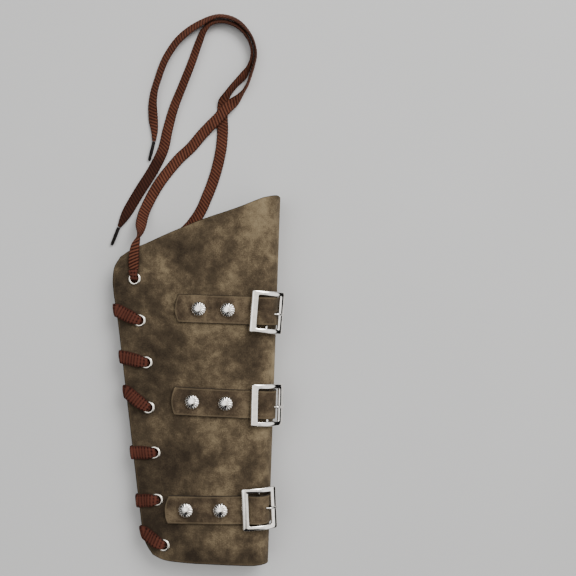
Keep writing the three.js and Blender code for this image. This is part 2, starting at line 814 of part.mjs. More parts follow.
// Lace out of the first eyelet, turning towards the elbow end along the sheet
function laceEnd(panel) {
  const seat = eyeletSeat(panel, 0);
  const toFold = inSheet(seat.normal, 0);
  const wide = inSheet(seat.normal, 180);
  const lying = (dx, dy, height, width) => ({
    place: seat.place.clone().addScaledVector(toFold, dx).addScaledVector(seat.normal, height)
      .setY(seat.place.y + dy),
    wide,
    width,
    thickness: lace.thickness,
  });
  const drift = panel === 'front' ? -0.2 : 0.6;
  return [
    ...laceOut(seat, wide, 150),
    lying(0, 1.3, ringHeight, 5.2),
    lying(drift, 4.2, ringHeight + 0.05, 6.8),
    lying(3 * drift, 6.2, ringHeight - 0.3, 7.4),
  ];
}

function makeLacing() {
  const frontStrand = climb(eyelets.map((_, k) => (k % 2 === 0 ? 'front' : 'back')));
  const backStrand = climb(eyelets.map((_, k) => (k % 2 === 0 ? 'back' : 'front')));
  return sweepLace([...frontStrand.reverse(), ...backStrand], 6);
}

function makeAglet({ from, to }) {
  const start = new THREE.Vector3(...from, aglet.height);
  const end = new THREE.Vector3(...to, aglet.height);
  const direction = end.clone().sub(start);
  const length = direction.length();
  direction.normalize();
  return lathe([
    [0, 0],
    [aglet.radius, 0],
    [aglet.radius, length - 0.5],
    [aglet.radius * 0.7, length],
    [0, length],
  ], 8, start, direction);
}

// Assembly

const armband = new THREE.Group();

function addPiece(name, geometry, finish) {
  geometry.translate(-frameOrigin.x, -frameOrigin.y, 0);
  const mesh = new THREE.Mesh(geometry, new THREE.MeshStandardMaterial(finish));
  mesh.name = name;
  armband.add(mesh);
}

const layouts = straps.map((strap, i) => strapLayout(strap, buckleSeats[i]));
const eyeletSeats = ['front', 'back'].flatMap((panel) => eyelets.map((_, i) => ({
  name: `eyelet_${panel}_${i + 1}`,
  seat: eyeletSeat(panel, i),
})));

const sheetHoles = [
  ...eyeletSeats.map(({ seat }) => eyeletHole(seat)),
  ...layouts.flatMap(({ studs, yAt }) => studs.map((distance) => studHole(distance, yAt(distance)))),
];
addPiece('leather_shell', cutHoles(makeSheet(), sheetHoles), suede);

straps.forEach((strap, i) => {
  const layout = layouts[i];
  addPiece(`strap_${strap.name}`, makeStrap(layout), strapLeather);
  addPiece(`buckle_${strap.name}`, makeBuckle(layout.matrix), chrome);
  addPiece(`prong_${strap.name}`, makeProng(layout.prongMatrix), chrome);
  layout.studs.forEach((distance, k) => {
    const place = `${k < 2 ? 'front' : 'back'}_${(k % 2) + 1}`;
    addPiece(`stud_${strap.name}_${place}`, makeStud(distance, layout.yAt(distance)), chrome);
  });
});

for (const { name, seat } of eyeletSeats) {
  addPiece(name, makeEyelet(seat), nickel);
}

addPiece('lacing', makeLacing(), braid);
addPiece('lace_tail_front', sweepLace(tailStations(frontTailRoute), 8), braid);
addPiece('lace_tail_back', sweepLace(tailStations(backTailRoute), 8), braid);
addPiece('aglet_front', makeAglet(frontAglet), darkTip);
addPiece('aglet_back', makeAglet(backAglet), darkTip);

export default armband;
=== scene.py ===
# Laced suede armband, folded flat, with buckled straps and a braided lace.
import math
import bmesh
import bpy
from mathutils import Matrix, Vector, kdtree, noise


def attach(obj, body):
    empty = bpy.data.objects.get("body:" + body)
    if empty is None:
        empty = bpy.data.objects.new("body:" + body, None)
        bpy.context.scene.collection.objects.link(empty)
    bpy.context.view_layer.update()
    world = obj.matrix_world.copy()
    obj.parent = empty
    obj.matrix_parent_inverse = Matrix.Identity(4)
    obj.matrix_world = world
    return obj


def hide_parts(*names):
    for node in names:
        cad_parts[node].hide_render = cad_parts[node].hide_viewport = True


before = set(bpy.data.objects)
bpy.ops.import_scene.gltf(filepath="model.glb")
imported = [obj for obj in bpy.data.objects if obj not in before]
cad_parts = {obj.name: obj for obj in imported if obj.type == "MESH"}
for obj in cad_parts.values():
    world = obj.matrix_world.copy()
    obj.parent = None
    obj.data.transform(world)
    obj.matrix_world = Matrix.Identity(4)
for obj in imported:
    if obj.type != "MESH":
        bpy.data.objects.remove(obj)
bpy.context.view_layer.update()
print("frame loaded:", len(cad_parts), "nodes")

# Straight above, with the armband at the left of the picture
shot = {"place": (0.0626, 0.0628, 0.7), "lens": 61.4, "sensor": 36.0}

cameraData = bpy.data.cameras.new("shotCamera")
cameraData.lens = shot["lens"]
cameraData.sensor_width = shot["sensor"]
camera = bpy.data.objects.new("shotCamera", cameraData)
camera.location = shot["place"]
bpy.context.scene.collection.objects.link(camera)
bpy.context.scene.camera = camera

originMm = (0.2, 0.7)   # the shape tables are in millimetres, with the frame's origin here


def toFrame(place):
    return Vector(((place[0] - originMm[0]) / 1000, (place[1] - originMm[1]) / 1000, place[2] / 1000))


def showMesh(name, mesh):
    piece = bpy.data.objects.new(name, mesh)
    bpy.context.scene.collection.objects.link(piece)
    return piece


def meshPiece(name, verts, faces, materials=()):
    mesh = bpy.data.meshes.new(name)
    mesh.from_pydata([tuple(v) for v in verts], [], faces)
    for material in materials:
        mesh.materials.append(material)
    mesh.polygons.foreach_set("use_smooth", [True] * len(mesh.polygons))
    mesh.update()
    return showMesh(name, mesh)


def addFloat(piece, name, values):
    piece.data.attributes.new(name, "FLOAT", "POINT").data.foreach_set("value", values)


def applied(piece):   # modifiers become plain mesh
    evaluated = piece.evaluated_get(bpy.context.evaluated_depsgraph_get())
    mesh = bpy.data.meshes.new_from_object(evaluated)
    old = piece.data
    piece.modifiers.clear()
    piece.data = mesh
    bpy.data.meshes.remove(old)
    mesh.name = piece.name
    return piece


def finished(piece, slotName, *nodes):
    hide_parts(*nodes)
    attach(piece, "root")
    return piece


def edited(piece, change):   # runs a bmesh change on a piece
    builder = bmesh.new()
    builder.from_mesh(piece.data)
    change(builder)
    builder.to_mesh(piece.data)
    builder.free()
    return piece


def markCreases(degrees):
    def change(builder):
        for edge in builder.edges:
            edge.smooth = len(edge.link_faces) == 2 and edge.calc_face_angle() < math.radians(degrees)
    return change


# Shader helpers

def nodeGroup(name, inputs, outputs):
    group = bpy.data.node_groups.new(name, "ShaderNodeTree")
    for label, kind, value in inputs:
        socket = group.interface.new_socket(label, in_out="INPUT", socket_type=kind)
        socket.default_value = value
    for label, kind in outputs:
        group.interface.new_socket(label, in_out="OUTPUT", socket_type=kind)
    return group, group.nodes.new("NodeGroupInput"), group.nodes.new("NodeGroupOutput")


def feed(tree, socket, value):   # a link from another socket, or a plain value
    if hasattr(value, "is_output"):
        tree.links.new(value, socket)
    else:
        socket.default_value = value


def addNode(tree, kind, values=None, **settings):
    node = tree.nodes.new(kind)
    for key, value in settings.items():
        setattr(node, key, value)
    for key, value in (values or {}).items():
        feed(tree, node.inputs[key], value)
    return node


def addNoise(tree, vector, scale, detail, **more):
    values = {"Vector": vector, "Scale": scale, "Detail": detail, **more}
    return addNode(tree, "ShaderNodeTexNoise", values).outputs["Fac"]


def addRamp(tree, factor, stops):
    ramp = addNode(tree, "ShaderNodeValToRGB", {"Fac": factor})
    elements = ramp.color_ramp.elements
    while len(elements) < len(stops):
        elements.new(0.5)
    for element, (position, color) in zip(elements, stops):
        element.position = position
        element.color = (*color, 1)
    return ramp.outputs["Color"]


def mixColors(tree, factor, first, second, blend="MIX"):
    values = {0: factor, 6: first, 7: second}
    return addNode(tree, "ShaderNodeMix", values, data_type="RGBA", blend_type=blend).outputs[2]


def maths(tree, operation, *values, clamp=False):
    node = addNode(tree, "ShaderNodeMath", dict(enumerate(values)), operation=operation, use_clamp=clamp)
    return node.outputs[0]


def remap(tree, value, low, high, outLow=0.0, outHigh=1.0):
    values = {0: value, 1: low, 2: high, 3: outLow, 4: outHigh}
    return addNode(tree, "ShaderNodeMapRange", values, clamp=True).outputs[0]


# Clouds, mottling and nap of suede, from object coordinates
def makeSuedeGroup():
    group, source, result = nodeGroup(
        "suedeNap",
        [("Vector", "NodeSocketVector", (0, 0, 0)), ("Cloud Scale", "NodeSocketFloat", 34.0),
         ("Mottle Scale", "NodeSocketFloat", 150.0), ("Nap Scale", "NodeSocketFloat", 1500.0)],
        [("Cloud", "NodeSocketFloat"), ("Mottle", "NodeSocketFloat"), ("Nap", "NodeSocketFloat")],
    )
    for label, detail, roughness, distortion in (
        ("Cloud", 3.0, 0.55, 0.1), ("Mottle", 4.0, 0.65, 0.1), ("Nap", 2.0, 0.6, 0.0),
    ):
        level = addNoise(group, source.outputs["Vector"], source.outputs[label + " Scale"], detail,
                         Roughness=roughness, Distortion=distortion)
        feed(group, result.inputs[label], level)
    return group


# Dark cut line, partly the real cut edge and partly painted shadow, and the light band beside it, partly
# burnish and partly painted highlight, from the distance to the edge in millimetres
def makeEdgeGroup():
    group, source, result = nodeGroup(
        "burnishedEdge",
        [("Edge Mm", "NodeSocketFloat", 9.0), ("Cut", "NodeSocketFloat", 0.35),
         ("Band", "NodeSocketFloat", 1.3)],
        [("Cut Line", "NodeSocketFloat"), ("Band Light", "NodeSocketFloat")],
    )
    edge, cutAndShadow, band = (source.outputs[label] for label in ("Edge Mm", "Cut", "Band"))
    line = remap(group, edge, maths(group, "MULTIPLY", cutAndShadow, 0.4), cutAndShadow, 1.0, 0.0)
    feed(group, result.inputs["Cut Line"], line)
    rise = maths(group, "DIVIDE", maths(group, "SUBTRACT", edge, cutAndShadow), 0.3, clamp=True)
    fall = remap(group, edge, maths(group, "MULTIPLY", band, 0.7), band, 1.0, 0.0)
    feed(group, result.inputs["Band Light"], maths(group, "MULTIPLY", rise, fall))
    return group


# Fine scratches and finger marks on polished metal
def makeRubGroup():
    group, source, result = nodeGroup(
        "rubbedMetal",
        [("Vector", "NodeSocketVector", (0, 0, 0)), ("Low", "NodeSocketFloat", 0.06),
         ("High", "NodeSocketFloat", 0.16)],
        [("Roughness", "NodeSocketFloat"), ("Height", "NodeSocketFloat")],
    )
    vector = source.outputs["Vector"]
    stretch = addNode(group, "ShaderNodeMapping", {"Vector": vector, "Scale": (900, 5200, 900)})
    marks = addNoise(group, vector, 260.0, 3.0)
    spread = remap(group, marks, 0.35, 0.75, source.outputs["Low"], source.outputs["High"])
    feed(group, result.inputs["Roughness"], spread)
    feed(group, result.inputs["Height"], addNoise(group, stretch.outputs["Vector"], 1.0, 2.0))
    return group


suedeGroup = makeSuedeGroup()
edgeGroup = makeEdgeGroup()
rubGroup = makeRubGroup()


def startMaterial(name, **sockets):
    material = bpy.data.materials.new(name)
    material.use_nodes = True
    tree = material.node_tree
    shader = tree.nodes["Principled BSDF"]
    for key, value in sockets.items():
        shader.inputs[key.replace("_", " ")].default_value = value
    return material, tree, shader


def objectCoords(tree):
    return addNode(tree, "ShaderNodeTexCoord").outputs["Object"]


def addBump(tree, shader, height, strength, distance):
    bump = addNode(tree, "ShaderNodeBump", {"Height": height, "Strength": strength, "Distance": distance})
    feed(tree, shader.inputs["Normal"], bump.outputs["Normal"])


def addGroup(tree, group, values):   # the group is set before its sockets are fed
    node = addNode(tree, "ShaderNodeGroup", node_tree=group)
    for label, value in values.items():
        feed(tree, node.inputs[label], value)
    return node


suedeLook = {
    "dark": (0.020, 0.013, 0.008), "base": (0.092, 0.067, 0.040), "light": (0.235, 0.182, 0.108),
    # dark cut edge with painted shadow, and burnish with painted highlight
    "cutAndShadow": (0.007, 0.005, 0.003), "burnishAndHighlight": (0.13, 0.098, 0.058),
    "lightSide": 0.05, "darkSide": -0.055, "sideShade": 0.12,   # painted shade: darker towards the lacing, where the panel slopes down away from the light
    "lightEnd": 0.0, "darkEnd": -0.125, "endDarkening": 0.075,   # and darker towards the wrist
}


def makeSuede(name, scales, look, bandStrength, cutWidth, bandWidth):
    material, tree, shader = startMaterial(name, Roughness=0.92, Sheen_Weight=0.12, Sheen_Roughness=0.6)
    shader.inputs["Sheen Tint"].default_value = (0.75, 0.62, 0.42, 1)
    shader.inputs["Specular IOR Level"].default_value = 0.18
    coords = objectCoords(tree)
    nap = addGroup(tree, suedeGroup, {"Vector": coords, **scales})
    blend = maths(tree, "ADD", maths(tree, "MULTIPLY", nap.outputs["Cloud"], 0.62),
                  maths(tree, "MULTIPLY", nap.outputs["Mottle"], 0.38))
    blend = maths(tree, "ADD", blend, maths(tree, "MULTIPLY",
                  maths(tree, "SUBTRACT", nap.outputs["Nap"], 0.5), 0.26))
    parts = addNode(tree, "ShaderNodeSeparateXYZ", {0: coords})
    # painted shade towards the lacing side and a darkening towards the wrist, taken off the blend
    for axis, dark, light, darkAmount in (("X", "darkSide", "lightSide", "sideShade"),
                                     ("Y", "darkEnd", "lightEnd", "endDarkening")):
        shade = remap(tree, parts.outputs[axis], look[dark], look[light], look[darkAmount], 0.0)
        blend = maths(tree, "SUBTRACT", blend, shade)
    color = addRamp(tree, blend, [
        (0.27, look["dark"]), (0.40, tuple(0.45 * (a + b) for a, b in zip(look["dark"], look["base"]))),
        (0.48, look["base"]), (0.64, look["light"]),
    ])
    edge = addNode(tree, "ShaderNodeAttribute", attribute_name="edgeMm")
    edgeMarks = addGroup(tree, edgeGroup, {"Edge Mm": edge.outputs["Fac"], "Cut": cutWidth, "Band": bandWidth})
    # light band of burnish and painted highlight, then the dark cut edge with painted shadow
    band = maths(tree, "MULTIPLY", edgeMarks.outputs["Band Light"], bandStrength)
    color = mixColors(tree, band, color, (*look["burnishAndHighlight"], 1))
    color = mixColors(tree, edgeMarks.outputs["Cut Line"], color, (*look["cutAndShadow"], 1))
    feed(tree, shader.inputs["Base Color"], color)
    height = maths(tree, "ADD", maths(tree, "MULTIPLY", nap.outputs["Nap"], 0.6),
                   maths(tree, "MULTIPLY", nap.outputs["Mottle"], 0.8))
    addBump(tree, shader, height, 0.35, 0.0004)
    return material


suedeFace = makeSuede("suedeFace", {"Cloud Scale": 34.0}, suedeLook, 0.25, 0.5, 1.6)
# straps: a weaker painted shade towards the lacing and no darkening towards the wrist
strapLook = dict(suedeLook, base=(0.066, 0.046, 0.028), light=(0.158, 0.118, 0.071),
                 sideShade=0.05, endDarkening=0.0)
strapFace = makeSuede("strapSuede", {"Cloud Scale": 55.0, "Mottle Scale": 190.0}, strapLook, 0.5, 0.4, 1.7)


def makeCutEdge():   # the cut side of the leather
    material, tree, shader = startMaterial("cutLeather", Roughness=0.85)
    grain = addNoise(tree, objectCoords(tree), 900.0, 3.0)
    color = addRamp(tree, grain, [(0.3, (0.010, 0.008, 0.006)), (0.7, (0.042, 0.032, 0.021))])
    feed(tree, shader.inputs["Base Color"], color)
    addBump(tree, shader, grain, 0.4, 0.0003)
    return material


def makeLining():   # black brushed cloth glued to the inner face
    material, tree, shader = startMaterial("blackLining", Roughness=0.95, Sheen_Weight=0.3)
    coords = objectCoords(tree)
    weave = addNoise(tree, coords, 1400.0, 3.0, Roughness=0.7)
    patches = addNoise(tree, coords, 60.0, 3.0)
    mixed = maths(tree, "ADD", maths(tree, "MULTIPLY", weave, 0.5), maths(tree, "MULTIPLY", patches, 0.5))
    color = addRamp(tree, mixed, [(0.35, (0.004, 0.004, 0.004)), (0.65, (0.019, 0.018, 0.018))])
    feed(tree, shader.inputs["Base Color"], color)
    addBump(tree, shader, weave, 0.5, 0.0003)
    return material


def makeMetal(name, color, low, high, bump):
    material, tree, shader = startMaterial(name, Metallic=1.0)
    coords = objectCoords(tree)
    rub = addGroup(tree, rubGroup, {"Vector": coords, "Low": low, "High": high})
    feed(tree, shader.inputs["Roughness"], rub.outputs["Roughness"])
    tarnish = addNoise(tree, coords, 420.0, 2.0)
    dull = tuple(channel * 0.86 for channel in color)
    feed(tree, shader.inputs["Base Color"], addRamp(tree, tarnish, [(0.35, dull), (0.6, color)]))
    addBump(tree, shader, rub.outputs["Height"], bump, 0.00002)
    return material


chromeFinish = makeMetal("polishedChrome", (0.93, 0.90, 0.86), 0.04, 0.10, 0.12)
nickelFinish = makeMetal("satinNickel", (0.90, 0.85, 0.76), 0.14, 0.26, 0.3)


def makeBraid(name, gap, middle, rib):
    material, tree, shader = startMaterial(name, Roughness=0.85, Sheen_Weight=0.04, Sheen_Roughness=0.5)
    shader.inputs["Sheen Tint"].default_value = (0.8, 0.45, 0.3, 1)
    shader.inputs["Specular IOR Level"].default_value = 0.12
    height = addNode(tree, "ShaderNodeAttribute", attribute_name="ribHeight")
    edge = addNode(tree, "ShaderNodeAttribute", attribute_name="laceEdge")
    coords = objectCoords(tree)
    yarn, dye = addNoise(tree, coords, 2600.0, 2.0), addNoise(tree, coords, 70.0, 2.0)
    level = height.outputs["Fac"]
    for texture, amount in ((yarn, 0.5), (dye, 0.35)):
        change = maths(tree, "MULTIPLY", maths(tree, "SUBTRACT", texture, 0.5), amount)
        level = maths(tree, "ADD", level, change)
    # painted shade and highlight: the grooves between the ribs are coloured dark as shade, the rib tops
    # lighter as highlight
    color = addRamp(tree, level, [(0.24, gap), (0.66, middle), (1.0, rib)])
    # painted shade along the lace's rounded borders
    border = remap(tree, edge.outputs["Fac"], 0.72, 0.98, 0.0, 0.6)
    color = mixColors(tree, border, color, (*gap, 1))
    # painted shade on stretches of the free ends
    shadedStretch = addNode(tree, "ShaderNodeAttribute", attribute_name="laceDark")
    color = mixColors(tree, shadedStretch.outputs["Fac"], color, (*(channel * 1.5 for channel in gap), 1))
    feed(tree, shader.inputs["Base Color"], color)
    addBump(tree, shader, yarn, 0.5, 0.0002)
    return material


# colours: painted groove shade, middle tone, painted rib highlight
tailFinish = makeBraid("rustBraid", (0.009, 0.003, 0.002), (0.045, 0.014, 0.0085), (0.145, 0.052, 0.030))
heldFinish = makeBraid("redBraid", (0.004, 0.0012, 0.001), (0.024, 0.007, 0.0048), (0.095, 0.030, 0.020))


def makeTip():
    material, tree, shader = startMaterial("darkTip", Roughness=0.6)
    shader.inputs["Specular IOR Level"].default_value = 0.15
    marks = addNoise(tree, objectCoords(tree), 700.0, 2.0)
    color = addRamp(tree, marks, [(0.4, (0.003, 0.002, 0.002)), (0.7, (0.011, 0.006, 0.005))])
    feed(tree, shader.inputs["Base Color"], color)
    addBump(tree, shader, marks, 0.3, 0.0001)
    return material


tipFinish = makeTip()
cutEdge = makeCutEdge()
lining = makeLining()
print("materials made")

# The sheet: a front panel, a round fold at the right and a back panel

sheet = {
    "thickness": 2.0, "foldRadius": 11.0, "backHeight": 5.6, "edgeDrop": 13.8,
    "foldAt": 52.2, "foldSlope": 0.034, "openAt": -50.8, "openSlope": -0.118,
    "wristY": -126.6, "elbowY": 127.8, "peakDip": 1.6, "shoulderDrop": 2.3, "backInset": 1.5,
    "frontCells": 62, "foldCells": 26, "backCells": 52, "rows": 156, "dentMm": 0.4,
}
elbowEdge = [
    (44.8, 126.4), (27.6, 119.6), (4, 110.8), (-17.8, 102.2), (-36.2, 94.2), (-46, 90.2), (-53.7, 85.4),
]
wristEdge = [(37, -125.7), (12, -126.3), (-10, -126.2), (-24, -125), (-31.2, -122)]
lacedEdge = [
    (-31.2, -122), (-36, -114.5), (-38.6, -104), (-41, -86), (-45, -52), (-50.6, -4),
    (-56, 42), (-58.9, 62), (-59.3, 70), (-58, 78.5), (-53.7, 85.4),
]
foldCentreHeight = sheet["backHeight"] + sheet["foldRadius"]
halfSheet = sheet["thickness"] / 2
arcLength = math.pi * sheet["foldRadius"]


def catmullRom(points, steps, sizes=None):   # centripetal, through rows of numbers
    rows = [list(row) for row in points]
    spanOf = sizes or (lambda a, b: math.dist(a[:3], b[:3]))
    first = [2 * a - b for a, b in zip(rows[0], rows[1])]
    last = [2 * a - b for a, b in zip(rows[-1], rows[-2])]
    rows = [first, *rows, last]
    result = []
    for i in range(1, len(rows) - 2):
        p0, p1, p2, p3 = rows[i - 1:i + 3]
        d0, d1, d2 = (max(spanOf(a, b), 1e-6) ** 0.5 for a, b in ((p0, p1), (p1, p2), (p2, p3)))
        count = steps(p1, p2)
        for k in range(count):
            t = k / count
            point = []
            for a, b, c, d in zip(p0, p1, p2, p3):
                m1 = ((b - a) / d0 - (c - a) / (d0 + d1) + (c - b) / d1) * d1
                m2 = ((c - b) / d1 - (d - b) / (d1 + d2) + (d - c) / d2) * d1
                point.append(b + m1 * t + (3 * (c - b) - 2 * m1 - m2) * t ** 2
                             + (2 * (b - c) + m1 + m2) * t ** 3)
            result.append(point)
    result.append(rows[-2])
    return result


def measuredLine(points):
    line = catmullRom(points, lambda a, b: 30)
    lengths = [0.0]
    for a, b in zip(line, line[1:]):
        lengths.append(lengths[-1] + math.dist(a, b))
    return lengths, line


def linePlace(measured, part):
    lengths, line = measured
    wanted = part * lengths[-1]
    low, high = 0, len(lengths) - 1
    while high - low > 1:
        middle = (low + high) // 2
        if lengths[middle] <= wanted:
            low = middle
        else:
            high = middle
    share = (wanted - lengths[low]) / (lengths[high] - lengths[low])
    return [a + (b - a) * share for a, b in zip(line[low], line[high])]


def tangentX(y):
    return sheet["foldAt"] + sheet["foldSlope"] * y - sheet["foldRadius"]


def frontZ(x, y):
    reach = tangentX(y) - (sheet["openAt"] + sheet["openSlope"] * y)
    part = max(0.0, (tangentX(y) - x) / reach)
    return (sheet["backHeight"] + 2 * sheet["foldRadius"]
            - sheet["edgeDrop"] * (1.5 * part ** 2 - 0.5 * part ** 3))


wristLine = measuredLine([(tangentX(sheet["wristY"]), sheet["wristY"]), *wristEdge[1:]])
elbowLine = measuredLine([(tangentX(sheet["elbowY"]), sheet["elbowY"]), *elbowEdge[1:]])
lacedLine = measuredLine(lacedEdge)


def panelPlan(across, along, cache={}):
    if ("a", across) not in cache:
        cache["a", across] = linePlace(wristLine, across), linePlace(elbowLine, across)
    if ("b", along) not in cache:
        y = sheet["wristY"] + (sheet["elbowY"] - sheet["wristY"]) * along
        cache["b", along] = (tangentX(y), y), linePlace(lacedLine, along)
    wrist, elbow = cache["a", across]
    fold, laced = cache["b", along]
    foldEnds = [(tangentX(y), y) for y in (sheet["wristY"], sheet["elbowY"])]
    result = []
    for axis in (0, 1):
        ends = (1 - along) * wrist[axis] + along * elbow[axis]
        sides = (1 - across) * fold[axis] + across * laced[axis]
        low = (1 - across) * foldEnds[0][axis] + across * lacedEdge[0][axis]
        high = (1 - across) * foldEnds[1][axis] + across * lacedEdge[-1][axis]
        result.append(ends + sides - (1 - along) * low - along * high)
    return result


def sheetPoint(column, along):
    panel, value = column
    nearElbow = max(0.0, 1 - (1 - along) * 8)
    if panel == "fold":
        x, y = panelPlan(0.0, along)
        turn = math.radians(value)
        dip = nearElbow * (sheet["peakDip"] * math.cos(turn) ** 8
                           + sheet["shoulderDrop"] * (1 - min(1.0, math.cos(turn) * 1.15)))
        return Vector((x + sheet["foldRadius"] * math.cos(turn), y - dip,
                       foldCentreHeight + sheet["foldRadius"] * math.sin(turn)))
    x, y = panelPlan(value, along)
    y -= sheet["shoulderDrop"] * nearElbow * max(0.0, 1 - value * 2.2) ** 1.5
    if panel == "front":
        return Vector((x, y, frontZ(x, y)))
    return Vector((x + sheet["backInset"] * value, y, sheet["backHeight"]))


def outerFace(distance, y):   # place on the middle surface, and the outward direction
    if distance < 0:
        x = tangentX(y) + distance
        rise = frontZ(x + 0.5, y) - frontZ(x - 0.5, y)
        return Vector((x, y, frontZ(x, y))), Vector((-rise, 0, 1)).normalized()
    if distance <= arcLength:
        turn = math.pi / 2 - distance / sheet["foldRadius"]
        outward = Vector((math.cos(turn), 0, math.sin(turn)))
        return Vector((tangentX(y), y, foldCentreHeight)) + outward * sheet["foldRadius"], outward
    x = tangentX(y) - (distance - arcLength)
    return Vector((x, y, sheet["backHeight"])), Vector((0, 0, -1))


def overFace(distance, y, height):
    place, outward = outerFace(distance, y)
    return place + outward * (halfSheet + height)


eyelet = {"outer": 4.5, "hole": 2.7, "barrel": 3.1, "inner": 4.1, "flange": 0.7, "sides": 40}
eyelets = [
    {"x": -43.5, "y": 70, "crossY": 77}, {"x": -40, "y": 41, "crossY": 48.1},
    {"x": -35.2, "y": 11.9, "crossY": 15.6}, {"x": -33.7, "y": -19.4, "crossY": -8.7},
    {"x": -29.6, "y": -50.6, "crossY": -51}, {"x": -27.8, "y": -83.4, "crossY": -84.6},
    {"x": -23.2, "y": -114.8, "crossY": -106.5},
]


def eyeletSeat(panel, index):
    x, y = eyelets[index]["x"], eyelets[index]["y"]
    if panel == "front":
        return outerFace(x - tangentX(y), y)
    return Vector((x + sheet["backInset"], y, sheet["backHeight"])), Vector((0, 0, -1))


def gridFaces(columns, rows, skip=()):
    return [(i * rows + j, (i + 1) * rows + j, (i + 1) * rows + j + 1, i * rows + j + 1)
            for i in range(columns - 1) for j in range(rows - 1) if (i, j) not in skip]


def addThickness(piece, thicknessMm, bevelMm):
    wall = piece.modifiers.new("wall", "SOLIDIFY")
    wall.thickness = thicknessMm / 1000
    wall.offset = 0
    wall.material_offset = 1
    wall.material_offset_rim = 2
    soften = piece.modifiers.new("soften", "BEVEL")
    soften.width = bevelMm / 1000
    soften.segments = 2
    soften.limit_method = "ANGLE"
    soften.angle_limit = math.radians(50)
    return applied(piece)


def edgeDistances(piece):   # distance of each vertex to the open border, in millimetres
    builder = bmesh.new()
    builder.from_mesh(piece.data)
    border = [vert.co.copy() for vert in builder.verts if vert.is_boundary]
    tree = kdtree.KDTree(len(border))
    for index, place in enumerate(border):
        tree.insert(place, index)
    tree.balance()
    distances = [tree.find(vert.co)[2] * 1000 for vert in builder.verts]
    builder.free()
    return distances


def makeShell():
    columns = [("front", i / sheet["frontCells"]) for i in range(sheet["frontCells"], 0, -1)]
    columns += [("fold", 90 - 180 * i / sheet["foldCells"]) for i in range(sheet["foldCells"] + 1)]
    columns += [("back", i / sheet["backCells"]) for i in range(1, sheet["backCells"] + 1)]
    rows = sheet["rows"] + 1
    verts = []
    for column in columns:
        for row in range(rows):
            even = row / sheet["rows"]
            place = sheetPoint(column, even - 0.07 * math.sin(2 * math.pi * even))
            side = -1.0 if column[0] == "back" else 1.0
            dent = sheet["dentMm"] * noise.noise(Vector((place.x / 34, place.y / 42, side * 3.1)))
            if column[0] != "fold":
                place.z += dent * side
            verts.append(toFrame(place))
    piece = meshPiece("suedeShell", verts, gridFaces(len(columns), rows), (suedeFace, lining, cutEdge))
    addFloat(piece, "edgeMm", edgeDistances(piece))
    seats = [eyeletSeat(panel, i) for panel in ("front", "back") for i in range(len(eyelets))]
    centres = [toFrame(place) for place, _ in seats]

    def punch(builder):
        gone = [vert for vert in builder.verts if any((vert.co - c).length < 0.0024 for c in centres)]
        bmesh.ops.delete(builder, geom=gone, context="VERTS")
        for vert in builder.verts:
            for centre in centres:
                away = vert.co - centre
                if vert.is_boundary and away.length < 0.0052:
                    vert.co = centre + away.normalized() * 0.0033

    edited(piece, punch)
    addThickness(piece, sheet["thickness"], 0.45)
    return finished(piece, "suede", "leather_shell")


makeShell()
print("shell made")

# Straps, with a bump where each passes over its buckle's middle bar

strap = {"gap": 0.25, "thickness": 1.5, "width": 19.5, "bump": 3.75, "bumpLeft": 7.8, "bumpRight": 9.3,
         "endBow": 2.6, "endLead": 1.0, "cellMm": 0.75, "slot": (4.6, 7.2), "slotHalf": 1.3}
straps = [
    {"name": "upper", "startX": -13.9, "y": 49.8, "slope": -0.033, "studs": (2.2, 22.1),
     "tilt": 24, "slide": 0.4, "turn": -5, "shift": -0.8, "prongShift": -0.9},
    {"name": "middle", "startX": -16.5, "y": -14.1, "slope": -0.034, "studs": (-2.3, 20.6),
     "tilt": 29, "slide": 1.5, "turn": -1.5, "shift": -0.2, "prongShift": -1.4},
    {"name": "lower", "startX": -21.1, "y": -89.6, "slope": 0.03, "studs": (-6.7, 17.1),
     "tilt": 17, "slide": 1.1, "turn": 2.6, "shift": 0.7, "prongShift": 0},
]


def strapRun(row):
    start = row["startX"] - tangentX(row["y"])
    return start, arcLength - start


def strapY(row, distance):
    return row["y"] + row["slope"] * (distance - strapRun(row)[0])


def strapLift(row, distance):
    off = distance - (math.radians(row["tilt"]) * sheet["foldRadius"] + row["slide"])
    reach = off / (strap["bumpRight"] if off > 0 else strap["bumpLeft"])
    return strap["bump"] * math.cos(math.pi / 2 * reach) ** 2 if abs(reach) < 1 else 0.0


def makeStrap(row):
    start, end = strapRun(row)
    start -= strap["endLead"]
    end += strap["endLead"]
    half = strap["width"] / 2
    slotHalf = strap["slotHalf"]
    slotSide = row["prongShift"] + row["shift"]
    offsets = [-half, -9.3, -8.6, -7.6, -6.2, -4.8, slotSide - slotHalf, slotSide, slotSide + slotHalf,
               3, 4.6, 6.2, 7.6, 8.6, 9.3, half]
    slotColumn = offsets.index(slotSide - slotHalf)
    steps = round((end - start) / strap["cellMm"])
    bar = math.radians(row["tilt"]) * sheet["foldRadius"] + row["slide"]
    verts, skip = [], set()
    for i in range(steps + 1):
        for offset in offsets:
            distance = start + (end - start) * i / steps
            lead, tail = distance - start, end - distance
            for room, sign in ((lead, 1), (tail, -1)):
                if room < 12:
                    distance += sign * strap["endBow"] * (offset / half) ** 2 * (1 - room / 12) ** 2
            height = strap["gap"] + strapLift(row, distance) + strap["thickness"] / 2
            height += 0.12 * noise.noise(Vector((distance / 9, offset / 9, row["y"])))
            verts.append(toFrame(overFace(distance, strapY(row, distance) + offset, height)))
        middle = start + (end - start) * (i + 0.5) / steps - bar
        if strap["slot"][0] < middle < strap["slot"][1]:
            skip.update(((i, slotColumn), (i, slotColumn + 1)))
    faces = [tuple(reversed(face)) for face in gridFaces(steps + 1, len(offsets), skip)]
    piece = meshPiece("strap" + row["name"].capitalize(), verts, faces, (strapFace, strapFace, cutEdge))
    addFloat(piece, "edgeMm", edgeDistances(piece))
    addThickness(piece, strap["thickness"], 0.3)
    return finished(piece, "strap_leather", "strap_" + row["name"])


for row in straps:
    makeStrap(row)
print("straps made")

# Buckles: a bowed frame with softened edges, its middle bar and the prong

